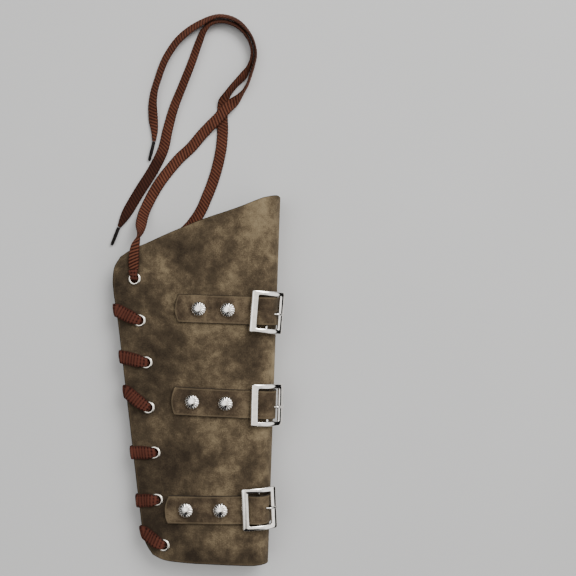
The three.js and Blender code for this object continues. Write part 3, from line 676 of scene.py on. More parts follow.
buckle = {"length": 24.4, "width": 28.8, "bar": 4.3, "rail": 3.3, "thickness": 2.4, "crown": 4.8,
          "bow": 30, "soft": 0.7, "round": 0.15, "corner": 1.3, "innerCorner": 0.8, "barHeight": 2.0,
          "post": ((0, 0.9), (0.2, 1.1), (1, 1.15)),   # share of its length, radius
          "lug": ((0, 1.1), (0.04, 1.15), (0.075, 1.0), (0.11, 0.8), (0.5, 0.75), (0.89, 0.8), (0.925, 1.0),
                  (0.96, 1.15), (1, 1.1))}
prong = {"loopRadius": 1.3, "loop": 0.72, "thickness": 1.0, "width": 1.8,
         "arm": ((3.0, 2.75), (4.4, 3.35), (7, 4.65), (9.3, 4.15), (12, 3.05))}


def frameMatrix(row):
    contact = math.radians(row["tilt"]) * sheet["foldRadius"]
    y = strapY(row, contact + row["slide"])
    place, outward = outerFace(contact, y)
    axisX = Vector((0, 1, 0)).cross(outward).normalized()
    basis = Matrix((axisX, Vector((0, 1, 0)), outward)).transposed().to_4x4()
    basis.translation = place + outward * halfSheet
    turned = basis @ Matrix.Rotation(math.radians(row["turn"]), 4, "Z")
    return turned @ Matrix.Translation((row["slide"], row["shift"], 0))


def roundedLoop(halfX, halfY, corner, sideSteps, cornerSteps):
    loop = []
    for index, (sideX, sideY) in enumerate(((1, 1), (-1, 1), (-1, -1), (1, -1))):
        for k in range(cornerSteps + 1):
            angle = math.radians(90 * (index + k / cornerSteps))
            loop.append((sideX * (halfX - corner) + corner * math.cos(angle),
                         sideY * (halfY - corner) + corner * math.sin(angle)))
        nextX, nextY = ((-1, 1), (-1, -1), (1, -1), (1, 1))[index]
        startAngle = math.radians(90 * (index + 1))
        a = loop[-1]
        b = (nextX * (halfX - corner) + corner * math.cos(startAngle),
             nextY * (halfY - corner) + corner * math.sin(startAngle))
        for k in range(1, sideSteps):
            loop.append((a[0] + (b[0] - a[0]) * k / sideSteps, a[1] + (b[1] - a[1]) * k / sideSteps))
    return loop


def ringFaces(stations, ringSize, closed):
    faces = []
    for i in range(stations if closed else stations - 1):
        for k in range(ringSize):
            a, b = i * ringSize + k, i * ringSize + (k + 1) % ringSize
            c, d = (((i + 1) % stations) * ringSize + (k + 1) % ringSize, ((i + 1) % stations) * ringSize + k)
            faces.append((a, b, c, d))
    return faces


def sweepSolid(rings):   # closed tube through rings, with flat ends
    size = len(rings[0])
    verts = [place for ring in rings for place in ring]
    faces = ringFaces(len(rings), size, False)
    faces.append(tuple(reversed(range(size))))
    faces.append(tuple(range((len(rings) - 1) * size, len(rings) * size)))
    return verts, faces


def joinParts(parts):
    verts, faces = [], []
    for partVerts, partFaces in parts:
        shift = len(verts)
        verts += partVerts
        faces += [tuple(index + shift for index in face) for face in partFaces]
    return verts, faces


def roundBar(start, end, radii, sides=16):   # a bar along a line, its radius changing on the way
    start, end = Vector(start), Vector(end)
    axis = (end - start).normalized()
    side = axis.orthogonal().normalized()
    other = axis.cross(side)
    rings = []
    for part, radius in radii:
        centre = start.lerp(end, part)
        rings.append([centre + (side * math.cos(a) + other * math.sin(a)) * radius
                      for a in (2 * math.pi * k / sides for k in range(sides))])
    return sweepSolid(rings)


def faceOutwards(builder):
    bmesh.ops.recalc_face_normals(builder, faces=builder.faces)


def placedPiece(name, parts, matrix, materials):
    verts, faces = joinParts(parts)
    piece = meshPiece(name, [toFrame(matrix @ Vector(v)) for v in verts], faces, materials)
    return edited(edited(piece, faceOutwards), markCreases(40))


def makeBuckle(row, matrix):
    halfX, halfY, soft = buckle["length"] / 2, buckle["width"] / 2, buckle["soft"]
    outer = roundedLoop(halfX, halfY, buckle["corner"], 14, 8)
    inner = roundedLoop(halfX - buckle["bar"], halfY - buckle["rail"], buckle["innerCorner"], 14, 8)
    top, base = buckle["crown"], buckle["crown"] - buckle["thickness"]
    quarter = [(soft * (1 - math.cos(a)), soft * (1 - math.sin(a))) for a in (0, 0.4, 0.8, 1.2, math.pi / 2)]
    rings = []
    for (outX, outY), (inX, inY) in zip(outer, inner):
        width = math.hypot(inX - outX, inY - outY)
        profile = [(step, top - drop) for step, drop in quarter]
        profile += [(width * 0.3, top + buckle["round"] * 0.8), (width / 2, top + buckle["round"]),
                    (width * 0.7, top + buckle["round"] * 0.8)]
        profile += [(width - step, top - drop) for step, drop in reversed(quarter)]
        profile += [(width - step, base + drop) for step, drop in quarter]
        profile += [(step, base + drop) for step, drop in reversed(quarter)]
        ring = []
        for across, height in profile:
            x = outX + (inX - outX) * across / width
            y = outY + (inY - outY) * across / width
            ring.append(Vector((x, y, height - x ** 2 / (2 * buckle["bow"]))))
        rings.append(ring)
    frameVerts = [place for ring in rings for place in ring]
    parts = [(frameVerts, ringFaces(len(rings), len(rings[0]), True))]
    reach = halfY - 1.4
    parts.append(roundBar((0, -reach, buckle["barHeight"]), (0, reach, buckle["barHeight"]), buckle["lug"]))
    for side in (-1, 1):
        parts.append(roundBar((0, side * (halfY - 1.9), buckle["barHeight"] - 0.6),
                              (0, side * (halfY - 1.7), buckle["crown"] - 0.6), buckle["post"]))
    piece = placedPiece("buckle" + row["name"].capitalize(), parts, matrix, (chromeFinish,))
    return finished(piece, "chrome", "buckle_" + row["name"])


def makeProng(row, matrix):
    line = []
    for k in range(17):
        angle = math.radians(-70 - 260 * k / 16)
        line.append((prong["loopRadius"] * math.cos(angle),
                     buckle["barHeight"] + prong["loopRadius"] * math.sin(angle),
                     prong["loop"], prong["width"]))
    taper = (1.0, 0.95, 0.88, 0.75, 0.62)
    arm = [(x, z, prong["thickness"] * size, prong["width"] * size)
           for (x, z), size in zip(prong["arm"], taper)]
    line = catmullRom(line + arm, lambda a, b: 1 if math.dist(a[:2], b[:2]) < 1 else 5,
                      lambda a, b: math.dist(a[:2], b[:2]))
    line.append([line[-1][0] + 0.3, line[-1][1] - 0.18, line[-1][2] * 0.4, line[-1][3] * 0.4])
    rings = []
    for i, (x, z, thick, wide) in enumerate(line):
        before, after = line[max(i - 1, 0)], line[min(i + 1, len(line) - 1)]
        along = Vector((after[0] - before[0], 0, after[1] - before[1])).normalized()
        flat = along.cross(Vector((0, 1, 0)))
        rings.append([Vector((x, wide / 2 * math.cos(a), z)) + flat * (thick / 2 * math.sin(a))
                      for a in (2 * math.pi * k / 14 for k in range(14))])
    piece = placedPiece("prong" + row["name"].capitalize(), [sweepSolid(rings)], matrix, (chromeFinish,))
    return finished(piece, "chrome", "prong_" + row["name"])


for row in straps:
    matrix = frameMatrix(row)
    makeBuckle(row, matrix)
    makeProng(row, matrix @ Matrix.Translation((0, row["prongShift"], 0)))
print("buckles made")

# Studs and eyelets: one shape each, set on their seats by Geometry Nodes

stud = {"flutes": 16, "fluteDepth": 0.6, "post": 1.45, "capRadius": 3.2, "cap": 0.6, "sides": 96}


def turned(profile, sides, shape=None):   # profile of (radius, height), turned about Z
    verts, rings = [], []
    for step, (radius, height) in enumerate(profile):
        if radius == 0:
            rings.append([len(verts)])
            verts.append((0, 0, height))
            continue
        rings.append(list(range(len(verts), len(verts) + sides)))
        for k in range(sides):
            angle = 2 * math.pi * k / sides
            r, h = shape(step, radius, height, angle) if shape else (radius, height)
            verts.append((r * math.cos(angle), r * math.sin(angle), h))
    faces = []
    for low, high in zip(rings, rings[1:]):
        for k in range(sides):
            n = (k + 1) % sides
            if len(low) == 1:
                faces.append((low[0], high[n], high[k]))
            elif len(high) == 1:
                faces.append((low[k], low[n], high[0]))
            else:
                faces.append((low[k], low[n], high[n], high[k]))
    return verts, faces


def studShape():
    base = halfSheet + 2 * strap["gap"] + strap["thickness"]
    inside = -halfSheet - strap["gap"]
    dome = [(4.9, 0.0), (5.25, 0.1), (5.3, 0.45), (5.16, 0.95), (4.86, 1.32), (4.42, 1.62), (3.9, 1.86),
            (3.3, 2.08), (2.6, 2.28), (1.8, 2.45), (0.9, 2.56), (0, 2.6)]
    foot = [(0, 0.02), (1.4, 0.02)]
    fluteAt = {4: 0.5, 5: 1, 6: 1, 7: 1, 8: 0.8, 9: 0.5, 10: 0.2}

    def flute(step, radius, height, angle):
        groove = (0.5 + 0.5 * math.cos(stud["flutes"] * angle)) ** 3 * fluteAt.get(step, 0)
        return radius - 0.4 * groove * stud["fluteDepth"], height - groove * stud["fluteDepth"]

    domePart = turned([(r, base + h) for r, h in foot + dome], stud["sides"], flute)
    post = turned([(0, inside - stud["cap"]), (stud["capRadius"] - 0.3, inside - stud["cap"]),
                   (stud["capRadius"], inside - stud["cap"] + 0.25), (stud["capRadius"] - 0.1, inside),
                   (stud["post"], inside), (stud["post"], base + 0.4), (0, base + 0.4)], 24)
    return joinParts([domePart, post])


def eyeletShape():
    face = halfSheet + strap["gap"]
    hole, outer, flange = eyelet["hole"], eyelet["outer"], eyelet["flange"]
    roll = [(outer - 0.15, face), (outer, face + 0.12), (outer - 0.12, face + 0.36),
            (outer - 0.5, face + 0.6), (outer - 0.95, face + flange), (outer - 1.35, face + 0.62),
            (hole + 0.12, face + 0.34), (hole, face - 0.1)]
    inside = [(hole, -face + 0.1), (hole + 0.15, -face - 0.5), (hole + 0.55, -face - flange),
              (eyelet["inner"] - 0.3, -face - 0.45), (eyelet["inner"], -face - 0.05),
              (eyelet["barrel"], -face)]
    return turned([(eyelet["barrel"], face), *roll, *inside, (eyelet["barrel"], face)], eyelet["sides"])


def geometryTree(name, inputs):
    tree = bpy.data.node_groups.new(name, "GeometryNodeTree")
    tree.interface.new_socket("Geometry", in_out="INPUT", socket_type="NodeSocketGeometry")
    for label, kind in inputs:
        tree.interface.new_socket(label, in_out="INPUT", socket_type=kind)
    tree.interface.new_socket("Geometry", in_out="OUTPUT", socket_type="NodeSocketGeometry")
    return tree, tree.nodes.new("NodeGroupInput"), tree.nodes.new("NodeGroupOutput")


def endTree(tree, source, result, shapes):   # real meshes with the finish set
    real = addNode(tree, "GeometryNodeRealizeInstances", {"Geometry": shapes})
    values = {"Geometry": real.outputs["Geometry"], "Material": source.outputs["Finish"]}
    finish = addNode(tree, "GeometryNodeSetMaterial", values)
    feed(tree, result.inputs["Geometry"], finish.outputs["Geometry"])
    return tree


def makeSeatTree():
    tree, source, result = geometryTree("shapesOnSeats", [
        ("Shape", "NodeSocketObject"), ("Size", "NodeSocketFloat"), ("Finish", "NodeSocketMaterial")])
    shape = addNode(tree, "GeometryNodeObjectInfo", {"Object": source.outputs["Shape"]})
    outward = addNode(tree, "GeometryNodeInputNamedAttribute", {"Name": "outward"}, data_type="FLOAT_VECTOR")
    align = addNode(tree, "FunctionNodeAlignRotationToVector", {"Vector": outward.outputs["Attribute"]},
                    axis="Z")
    copies = addNode(tree, "GeometryNodeInstanceOnPoints", {
        "Points": source.outputs["Geometry"], "Instance": shape.outputs["Geometry"],
        "Rotation": align.outputs["Rotation"], "Scale": source.outputs["Size"]})
    return endTree(tree, source, result, copies.outputs["Instances"])


def setInputs(modifier, values):
    sockets = {item.name: item.identifier for item in modifier.node_group.interface.items_tree
               if item.in_out == "INPUT"}
    for label, value in values.items():
        modifier[sockets[label]] = value


seatTree = makeSeatTree()


def setOnSeats(name, shape, seats, finish, slotName, nodes, crease):
    verts, faces = shape
    model = edited(meshPiece(name + "Shape", [Vector(v) / 1000 for v in verts], faces), faceOutwards)
    piece = meshPiece(name, [toFrame(place) for place, _ in seats], [])
    piece.data.attributes.new("outward", "FLOAT_VECTOR", "POINT").data.foreach_set(
        "vector", [value for _, outward in seats for value in outward])
    modifier = piece.modifiers.new("seats", "NODES")
    modifier.node_group = seatTree
    setInputs(modifier, {"Shape": model, "Size": 1.0, "Finish": finish})
    applied(piece)
    bpy.data.objects.remove(model)
    edited(piece, markCreases(crease))
    return finished(piece, slotName, *nodes)


studSeats, studNodes = [], []
for row in straps:
    front = [x - tangentX(row["y"]) for x in row["studs"]]
    for side, distances in (("front", front), ("back", [arcLength - d for d in front])):
        for k, distance in enumerate(distances):
            studSeats.append(outerFace(distance, strapY(row, distance)))
            studNodes.append(f"stud_{row['name']}_{side}_{k + 1}")
setOnSeats("domedStuds", studShape(), studSeats, chromeFinish, "chrome", studNodes, 60)
eyeletPlaces = [(panel, i) for panel in ("front", "back") for i in range(len(eyelets))]
setOnSeats("rimEyelets", eyeletShape(), [eyeletSeat(panel, i) for panel, i in eyeletPlaces], nickelFinish,
           "nickel", [f"eyelet_{panel}_{i + 1}" for panel, i in eyeletPlaces], 50)
print("studs and eyelets set")

# Lace: a flat tube along each route, its braid pressed in by Geometry Nodes

lace = {"width": 8.0, "thickness": 1.8, "pinchWidth": 4.2, "pinchThickness": 2.3, "stepMm": 0.36,
        "faceSteps": 13}
backBraid = {"Rib Spacing": 2.3, "Rib Lean": 0.55, "Rib Depth": 0.24,
             "Column Width": 2.7, "Column Share": 0.25}
frontBraid = dict(backBraid, **{"Rib Lean": -0.45})
heldBraid = {"Rib Spacing": 2.3, "Rib Lean": 0.1, "Rib Depth": 0.3,
             "Column Width": 2.3, "Column Share": 0.85}
darkStretches = {   # painted shade on the free ends: start and end as shares of the length, amount
    "frontTail": ((0.50, 0.66, 0.45),), "backTail": ((0.46, 0.58, 0.3), (0.83, 1.1, 0.7)),
}

frontTailRoute = [   # x, y, z, lean of the flat side in degrees, width
    (-0.0443, 0.0760, 0.0194, 12, 0.0074),
    (-0.0443, 0.0813, 0.0195, 12, 0.0080),
    (-0.0440, 0.0869, 0.0196, 12, 0.0076),
    (-0.0432, 0.0921, 0.0195, 14, 0.0066),
    (-0.0423, 0.0961, 0.0179, 46, 0.0062),
    (-0.0415, 0.1005, 0.0147, 102, 0.0070),
    (-0.0408, 0.1068, 0.0098, 150, 0.0080),
    (-0.0397, 0.1149, 0.0050, 174, 0.0080),
    (-0.0364, 0.1239, 0.0016, 180, 0.0080),
    (-0.0285, 0.1379, 0.0011, 180, 0.0080),
    (-0.0151, 0.1545, 0.0011, 180, 0.0080),
    (-0.0064, 0.1627, 0.0011, 180, 0.0080),
    (0.0015, 0.1718, 0.0019, 180, 0.0080),
    (0.0073, 0.1776, 0.0032, 180, 0.0080),
    (0.0137, 0.1839, 0.0037, 180, 0.0080),
    (0.0201, 0.1911, 0.0039, 172, 0.0080),
    (0.0250, 0.1952, 0.0039, 138, 0.0080),
    (0.0282, 0.1985, 0.0042, 112, 0.0080),
    (0.0310, 0.2021, 0.0042, 95, 0.0080),
    (0.0339, 0.2072, 0.0042, 92, 0.0080),
    (0.0362, 0.2138, 0.0042, 93, 0.0080),
    (0.0383, 0.2208, 0.0042, 94, 0.0080),
    (0.0397, 0.2278, 0.0042, 94, 0.0080),
    (0.0391, 0.2341, 0.0042, 96, 0.0080),
    (0.0366, 0.2409, 0.0042, 102, 0.0080),
    (0.0324, 0.2467, 0.0042, 112, 0.0080),
    (0.0275, 0.2513, 0.0042, 118, 0.0080),
    (0.0215, 0.2543, 0.0042, 120, 0.0080),
    (0.0140, 0.2554, 0.0042, 122, 0.0080),
    (0.0080, 0.2540, 0.0041, 128, 0.0080),
    (0.0020, 0.2511, 0.0040, 136, 0.0080),
    (-0.0062, 0.2463, 0.0038, 141, 0.0080),
    (-0.0150, 0.2388, 0.0037, 142, 0.0080),
    (-0.0222, 0.2288, 0.0037, 140, 0.0080),
    (-0.0264, 0.2203, 0.0037, 139, 0.0080),
    (-0.0295, 0.2113, 0.0037, 138, 0.0080),
    (-0.0320, 0.2033, 0.0035, 138, 0.0080),
    (-0.0334, 0.1940, 0.0031, 146, 0.0080),
    (-0.0332, 0.1839, 0.0021, 160, 0.0076),
    (-0.0324, 0.1749, 0.0015, 176, 0.0052),
    (-0.0326, 0.1671, 0.0014, 180, 0.0027),
]
backTailRoute = [   # x, y, z, lean of the flat side in degrees, width
    (-0.0396, 0.0772, 0.0025, 0, 0.0074),
    (-0.0376, 0.0811, 0.0017, 0, 0.0080),
    (-0.0355, 0.0855, 0.0013, 0, 0.0080),
    (-0.0263, 0.0925, 0.0013, 0, 0.0080),
    (-0.0170, 0.0985, 0.0013, 0, 0.0080),
    (-0.0092, 0.1045, 0.0013, 0, 0.0080),
    (-0.0035, 0.1112, 0.0012, 0, 0.0080),
    (0.0011, 0.1187, 0.0011, 0, 0.0080),
    (0.0046, 0.1268, 0.0011, 0, 0.0080),
    (0.0086, 0.1368, 0.0011, 0, 0.0080),
    (0.0121, 0.1481, 0.0011, 0, 0.0080),
    (0.0150, 0.1616, 0.0011, 0, 0.0080),
    (0.0161, 0.1744, 0.0011, 0, 0.0080),
    (0.0159, 0.1851, 0.0011, 0, 0.0080),
    (0.0162, 0.1919, 0.0011, 0, 0.0080),
    (0.0170, 0.1953, 0.0026, -24, 0.0080),
    (0.0188, 0.1987, 0.0039, -54, 0.0080),
    (0.0244, 0.2062, 0.0041, -64, 0.0080),
    (0.0312, 0.2135, 0.0040, -58, 0.0080),
    (0.0343, 0.2182, 0.0042, -74, 0.0080),
    (0.0363, 0.2236, 0.0042, -84, 0.0080),
    (0.0371, 0.2290, 0.0042, -87, 0.0080),
    (0.0362, 0.2348, 0.0042, -87, 0.0080),
    (0.0338, 0.2402, 0.0042, -80, 0.0080),
    (0.0302, 0.2452, 0.0042, -70, 0.0080),
    (0.0252, 0.2491, 0.0042, -62, 0.0080),
    (0.0184, 0.2515, 0.0042, -60, 0.0080),
    (0.0126, 0.2516, 0.0041, -58, 0.0080),
    (0.0071, 0.2499, 0.0039, -54, 0.0080),
    (0.0028, 0.2451, 0.0035, -48, 0.0080),
    (-0.0005, 0.2373, 0.0033, -40, 0.0080),
    (-0.0056, 0.2231, 0.0031, -35, 0.0080),
    (-0.0126, 0.2054, 0.0029, -32, 0.0080),
    (-0.0183, 0.1912, 0.0026, -26, 0.0080),
    (-0.0228, 0.1754, 0.0021, -16, 0.0080),
    (-0.0262, 0.1613, 0.0015, -5, 0.0080),
    (-0.0328, 0.1477, 0.0012, 0, 0.0080),
    (-0.0440, 0.1298, 0.0012, 0, 0.0080),
    (-0.0528, 0.1148, 0.0012, 0, 0.0070),
    (-0.0576, 0.1062, 0.0013, 0, 0.0027),
]


def makeBraidTree():
    tree, source, result = geometryTree("pressedBraid", [
        ("Rib Spacing", "NodeSocketFloat"), ("Rib Lean", "NodeSocketFloat"), ("Rib Depth", "NodeSocketFloat"),
        ("Column Width", "NodeSocketFloat"), ("Column Share", "NodeSocketFloat"),
        ("Finish", "NodeSocketMaterial")])

    def read(name):
        return addNode(tree, "GeometryNodeInputNamedAttribute", {"Name": name}, data_type="FLOAT").outputs[0]

    def wave(value, spacing):
        turns = maths(tree, "DIVIDE", maths(tree, "MULTIPLY", value, math.pi), spacing)
        return maths(tree, "POWER", maths(tree, "ABSOLUTE", maths(tree, "SINE", turns)), 0.8)

    columnWidth, columnShare = source.outputs["Column Width"], source.outputs["Column Share"]
    across = read("laceAcross")
    slant = maths(tree, "ADD", read("laceAlong"), maths(tree, "MULTIPLY", across, source.outputs["Rib Lean"]))
    rib = wave(slant, source.outputs["Rib Spacing"])
    column = wave(maths(tree, "ADD", across, maths(tree, "MULTIPLY", columnWidth, 0.5)), columnWidth)
    bridge = maths(tree, "MULTIPLY", column, columnShare)
    groove = maths(tree, "MULTIPLY", maths(tree, "SUBTRACT", 1.0, rib), maths(tree, "SUBTRACT", 1.0, bridge))
    level = maths(tree, "SUBTRACT", 1.0, groove)
    height = maths(tree, "MULTIPLY", groove, maths(tree, "MULTIPLY", source.outputs["Rib Depth"], -1.0))
    # ribHeight also sets the painted groove shade and rib highlight in the lace colour
    kept = {"Geometry": source.outputs["Geometry"], "Name": "ribHeight", "Value": level}
    keep = addNode(tree, "GeometryNodeStoreNamedAttribute", kept, data_type="FLOAT", domain="POINT")
    normal = addNode(tree, "GeometryNodeInputNormal").outputs["Normal"]
    push = addNode(tree, "ShaderNodeVectorMath", {0: normal}, operation="SCALE")
    feed(tree, push.inputs["Scale"], maths(tree, "DIVIDE", height, 1000.0))
    move = addNode(tree, "GeometryNodeSetPosition", {
        "Geometry": keep.outputs["Geometry"], "Offset": push.outputs["Vector"]})
    return endTree(tree, source, result, move.outputs["Geometry"])


braidTree = makeBraidTree()


def laceRings(stations):   # stations of place, wide direction, width and thickness, in millimetres
    rows = [[*place, *wide.normalized(), width, thickness] for place, wide, width, thickness in stations]
    line = catmullRom(rows, lambda a, b: max(2, round(math.dist(a[:3], b[:3]) / lace["stepMm"])))
    faceSteps = lace["faceSteps"]
    rings, along, across, edge = [], [], [], []
    travelled = 0.0
    for i, row in enumerate(line):
        before, after = Vector(line[max(i - 1, 0)][:3]), Vector(line[min(i + 1, len(line) - 1)][:3])
        place = Vector(row[:3])
        if i:
            travelled += (place - Vector(line[i - 1][:3])).length
        tangent = (after - before).normalized()
        wide = Vector(row[3:6])
        wide = (wide - tangent * wide.dot(tangent)).normalized()
        flat = tangent.cross(wide)
        ring = []
        for face in (1, -1):
            for k in range(faceSteps):
                share = math.cos(math.pi * k / faceSteps) * face
                rise = math.sqrt(max(0.0, 1 - abs(share) ** 3.4)) * face
                ring.append(place + wide * (share * row[6] / 2) + flat * (rise * row[7] / 2))
                along.append(travelled)
                across.append(share * row[6] / 2)
                edge.append(abs(share))
        rings.append(ring)
    return line, rings, along, across, edge


def darkening(name, share):   # stretches of the lace painted dark as shade, with soft ends
    dark = 0.0
    for start, end, amount in darkStretches.get(name, ()):
        inside = min(share - start, end - share) / 0.03
        dark = max(dark, amount * min(1.0, max(0.0, inside)))
    return dark


def makeLace(name, stations, braid, finish, *nodes):
    line, rings, along, across, edge = laceRings(stations)
    verts, faces = sweepSolid(rings)
    piece = meshPiece(name, [toFrame(v) for v in verts], faces)
    dark = [darkening(name, distance / along[-1]) for distance in along]
    floats = {"laceAlong": along, "laceAcross": across, "laceEdge": edge, "laceDark": dark}
    for label, values in floats.items():
        addFloat(piece, label, values)
    edited(piece, faceOutwards)
    modifier = piece.modifiers.new("braid", "NODES")
    modifier.node_group = braidTree
    setInputs(modifier, {**braid, "Finish": finish})
    applied(piece)
    return finished(piece, "lace", *nodes), line


def tailStations(route):
    rows = [((x * 1000 + originMm[0], y * 1000 + originMm[1], z * 1000), lean, width * 1000)
            for x, y, z, lean, width in route]
    stations = []
    for i, (place, lean, width) in enumerate(rows):
        before, after = rows[max(i - 1, 0)][0], rows[min(i + 1, len(rows) - 1)][0]
        heading = Vector((after[0] - before[0], after[1] - before[1])).normalized()
        turn = math.radians(lean)
        wide = Vector((heading.y * math.cos(turn), -heading.x * math.cos(turn), math.sin(turn)))
        pinch = min(1.0, (lace["width"] - width) / (lace["width"] - lace["pinchWidth"]))
        thickness = lace["thickness"] + pinch * (lace["pinchThickness"] - lace["thickness"])
        stations.append((Vector(place), wide, width, thickness))
    return stations


def makeAglet(name, start, end, node):
    start, end = Vector(start), Vector(end)
    length = (end - start).length
    radii = [(0, 1.1), (0.02, 1.2), (0.5, 1.22), (0.9, 1.12), (0.97, 0.95), (1 - 0.05 / length, 0.55)]
    piece = placedPiece(name, [roundBar(start, end, radii, 24)], Matrix(), (tipFinish,))
    return finished(piece, "dark_tip", node)


agletHeight = 1.5
frontAglet = makeAglet("frontAglet", (-32.5, 167.4, agletHeight), (-35.9, 153.9, agletHeight), "aglet_front")
backAglet = makeAglet("backAglet", (-57.6, 106.5, agletHeight), (-62.6, 93.9, agletHeight), "aglet_back")

for name, route, braid, tip, node in (
    ("frontTail", frontTailRoute, frontBraid, frontAglet, "lace_tail_front"),
    ("backTail", backTailRoute, backBraid, backAglet, "lace_tail_back"),
):
    tail, line = makeLace(name, tailStations(route), braid, tailFinish, node)
print("free lace ends made")

# Held lace: from a straight piece inside the last eyelets, over the edges, up to the first eyelets
lieHeight = halfSheet + strap["gap"] + lace["thickness"] / 2
ringHeight = lieHeight + eyelet["flange"] + 0.3
wrapRadius = 0.4 + lace["thickness"] / 2
backRise = 4.0


def lacedEdgeAt(y):
    above = next(i for i, point in enumerate(lacedEdge) if point[1] > y)
    low, high = lacedEdge[above - 1], lacedEdge[above]
    direction = Vector((high[0] - low[0], high[1] - low[1], 0))
    return low[0] + direction.x * (y - low[1]) / direction.y, direction.normalized()


def inSheet(outward, degrees):
    toFold = Vector((abs(outward.z), 0, -outward.x if outward.z > 0 else 0))
    result = toFold * math.cos(math.radians(degrees))
    result.y = math.sin(math.radians(degrees))
    return result


def pinched(place, wide):
    return place, wide, lace["pinchWidth"], lace["pinchThickness"]


def laceOut(seat, wide, turned):
    place, outward = seat
    return [pinched(place + outward * 0.4, inSheet(outward, turned)), (place + outward * 2.3, wide, 6.2, 2.0)]


def laceOver(panel, index):
    place, outward = eyeletSeat(panel, index)
    row = eyelets[index]
    edgeY = row["crossY"] if panel == "front" else row["y"] + backRise
    frontX, along = lacedEdgeAt(edgeY)
    edgeX = frontX if panel == "front" else frontX + sheet["backInset"]
    edgeZ = frontZ(edgeX, edgeY) if panel == "front" else sheet["backHeight"]
    edge = Vector((edgeX, edgeY, edgeZ))
    away = Vector((-along.y, along.x, 0))
    heading = Vector((edgeX - row["x"], edgeY - row["y"], 0)).normalized()
    square = Vector((heading.y, -heading.x, 0))
    squareAngle = math.degrees(math.atan2(square.y, square.x))

    def onSheet(part, height, width, turn):
        return place.lerp(edge, part) + outward * height, square.lerp(along, turn), width, lace["thickness"]

    def atEdge(out, height, width, up):
        return edge + away * out + outward * height + along * up, along, width, lace["thickness"]

    return [
        *laceOut((place, outward), square, squareAngle + 26),
        onSheet(0.16, ringHeight + 0.05, 8.0, 0), onSheet(0.36, ringHeight + 0.15, 9.2, 0.1),
        onSheet(0.62, lieHeight + 0.2, 9.4, 0.4), atEdge(-0.9, lieHeight + 0.1, 9.4, -0.3),
        atEdge(wrapRadius * 0.75, wrapRadius + 0.45, 9.2, 0), atEdge(wrapRadius + 0.1, 0, 9, 0.2),
        atEdge(wrapRadius * 0.75, -wrapRadius - 0.45, 8.6, 0.5), atEdge(-1, -lieHeight - 0.35, 7.6, 1),
    ]


def laceAcross(panel, index):
    place, outward = eyeletSeat(panel, index)
    toFold = inSheet(outward, 0)

    def station(dx, dy, depth, turned):
        spot = place + toFold * dx - outward * depth
        spot.y = place.y + dy
        return pinched(spot, inSheet(outward, turned))

    side = -6.2 if panel == "front" else 2.4
    return [station(side, -10.5, 4.7, 150), station(side * 0.45, -5, 4.2, 155),
            station(-0.2, -1.2, 3.4, 150), station(0, 0, 0.8, 120)]


def laceEnd(panel):
    place, outward = eyeletSeat(panel, 0)
    toFold, wide = inSheet(outward, 0), inSheet(outward, 180)

    def lying(dx, dy, height, width):
        spot = place + toFold * dx + outward * height
        spot.y = place.y + dy
        return spot, wide, width, lace["thickness"]

    drift = -0.2 if panel == "front" else 0.6
    return [*laceOut((place, outward), wide, 150), lying(0, 1.3, ringHeight, 5.2),
            lying(drift, 4.2, ringHeight + 0.05, 6.8), lying(3 * drift, 6.2, ringHeight - 0.3, 7.4)]


def climb(panels):
    stations = []
    for k, panel in enumerate(panels):
        index = len(eyelets) - 1 - k
        if k > 0:
            stations += laceAcross(panel, index)
        if index > 0:
            stations += laceOver(panel, index)
    return stations + laceEnd(panels[-1])


turns = range(len(eyelets))
frontStrand = climb(["front" if k % 2 == 0 else "back" for k in turns])
backStrand = climb(["back" if k % 2 == 0 else "front" for k in turns])
makeLace("heldLacing", frontStrand[::-1] + backStrand, heldBraid, heldFinish, "lacing")
print("lacing made")

# Floor and light
studio = {"floorHalf": 0.55, "floor": (0.62, 0.625, 0.635), "floorRough": 0.6}
lamps = [   # name, place, size, power, colour
    ("keyLamp", (0.75, 0.95, 1.35), 0.9, 23.0, (1.0, 0.99, 0.97)),
    ("fillLamp", (-0.9, 0.3, 1.6), 1.6, 6.5, (0.95, 0.98, 1.0)),
]


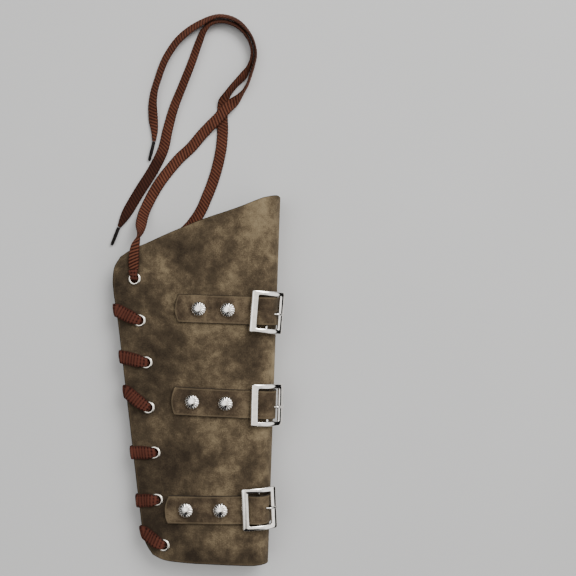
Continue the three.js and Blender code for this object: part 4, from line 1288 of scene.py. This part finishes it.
def makeFloor():
    half = studio["floorHalf"]
    material, tree, shader = startMaterial("paleFloor", Roughness=studio["floorRough"])
    shader.inputs["Specular IOR Level"].default_value = 0.2
    speckle = addNoise(tree, objectCoords(tree), 6.0, 2.0)
    low = tuple(channel * 0.97 for channel in studio["floor"])
    feed(tree, shader.inputs["Base Color"], addRamp(tree, speckle, [(0.3, low), (0.7, studio["floor"])]))
    floor = meshPiece("paleFloor", [(-half, -half, -0.0002), (half, -half, -0.0002), (half, half, -0.0002),
                                    (-half, half, -0.0002)], [(0, 1, 2, 3)], (material,))


makeFloor()
for name, place, size, power, color in lamps:
    data = bpy.data.lights.new(name, "AREA")
    data.size = size
    data.energy = power
    data.color = color
    lamp = bpy.data.objects.new(name, data)
    lamp.location = place
    lamp.rotation_euler = (Vector((0.03, 0.05, 0)) - Vector(place)).to_track_quat("-Z", "Y").to_euler()
    bpy.context.scene.collection.objects.link(lamp)


def makeWorld():   # bright overhead, a window low at the right, a dark figure at the wrist's side
    world = bpy.data.worlds.new("studioWorld")
    world.use_nodes = True
    tree = world.node_tree
    direction = addNode(tree, "ShaderNodeTexCoord").outputs["Generated"]
    parts = addNode(tree, "ShaderNodeSeparateXYZ", {0: direction})
    color = addRamp(tree, parts.outputs["Z"], [
        (0.0, (0.008, 0.008, 0.008)), (0.36, (0.012, 0.012, 0.012)), (0.54, (0.24, 0.24, 0.24)),
        (0.76, (0.85, 0.84, 0.82)), (0.9, (1.35, 1.3, 1.22))])
    window = maths(tree, "MULTIPLY", remap(tree, parts.outputs["X"], 0.50, 0.62),
                   remap(tree, parts.outputs["Z"], 0.27, 0.34))
    color = mixColors(tree, window, color, (1.5, 1.48, 1.45, 1))
    low = addNode(tree, "ShaderNodeVectorMath", {0: direction, 1: (-0.07, -0.70, 0.71)}, operation="DISTANCE")
    figure = remap(tree, low.outputs["Value"], 0.48, 0.56, 1.0, 0.0)
    color = mixColors(tree, figure, color, (0.015, 0.015, 0.018, 1))
    feed(tree, tree.nodes["Background"].inputs["Color"], color)
    tree.nodes["Background"].inputs["Strength"].default_value = 1.0
    bpy.context.scene.world = world


makeWorld()
print("studio made")

print("scene finished")
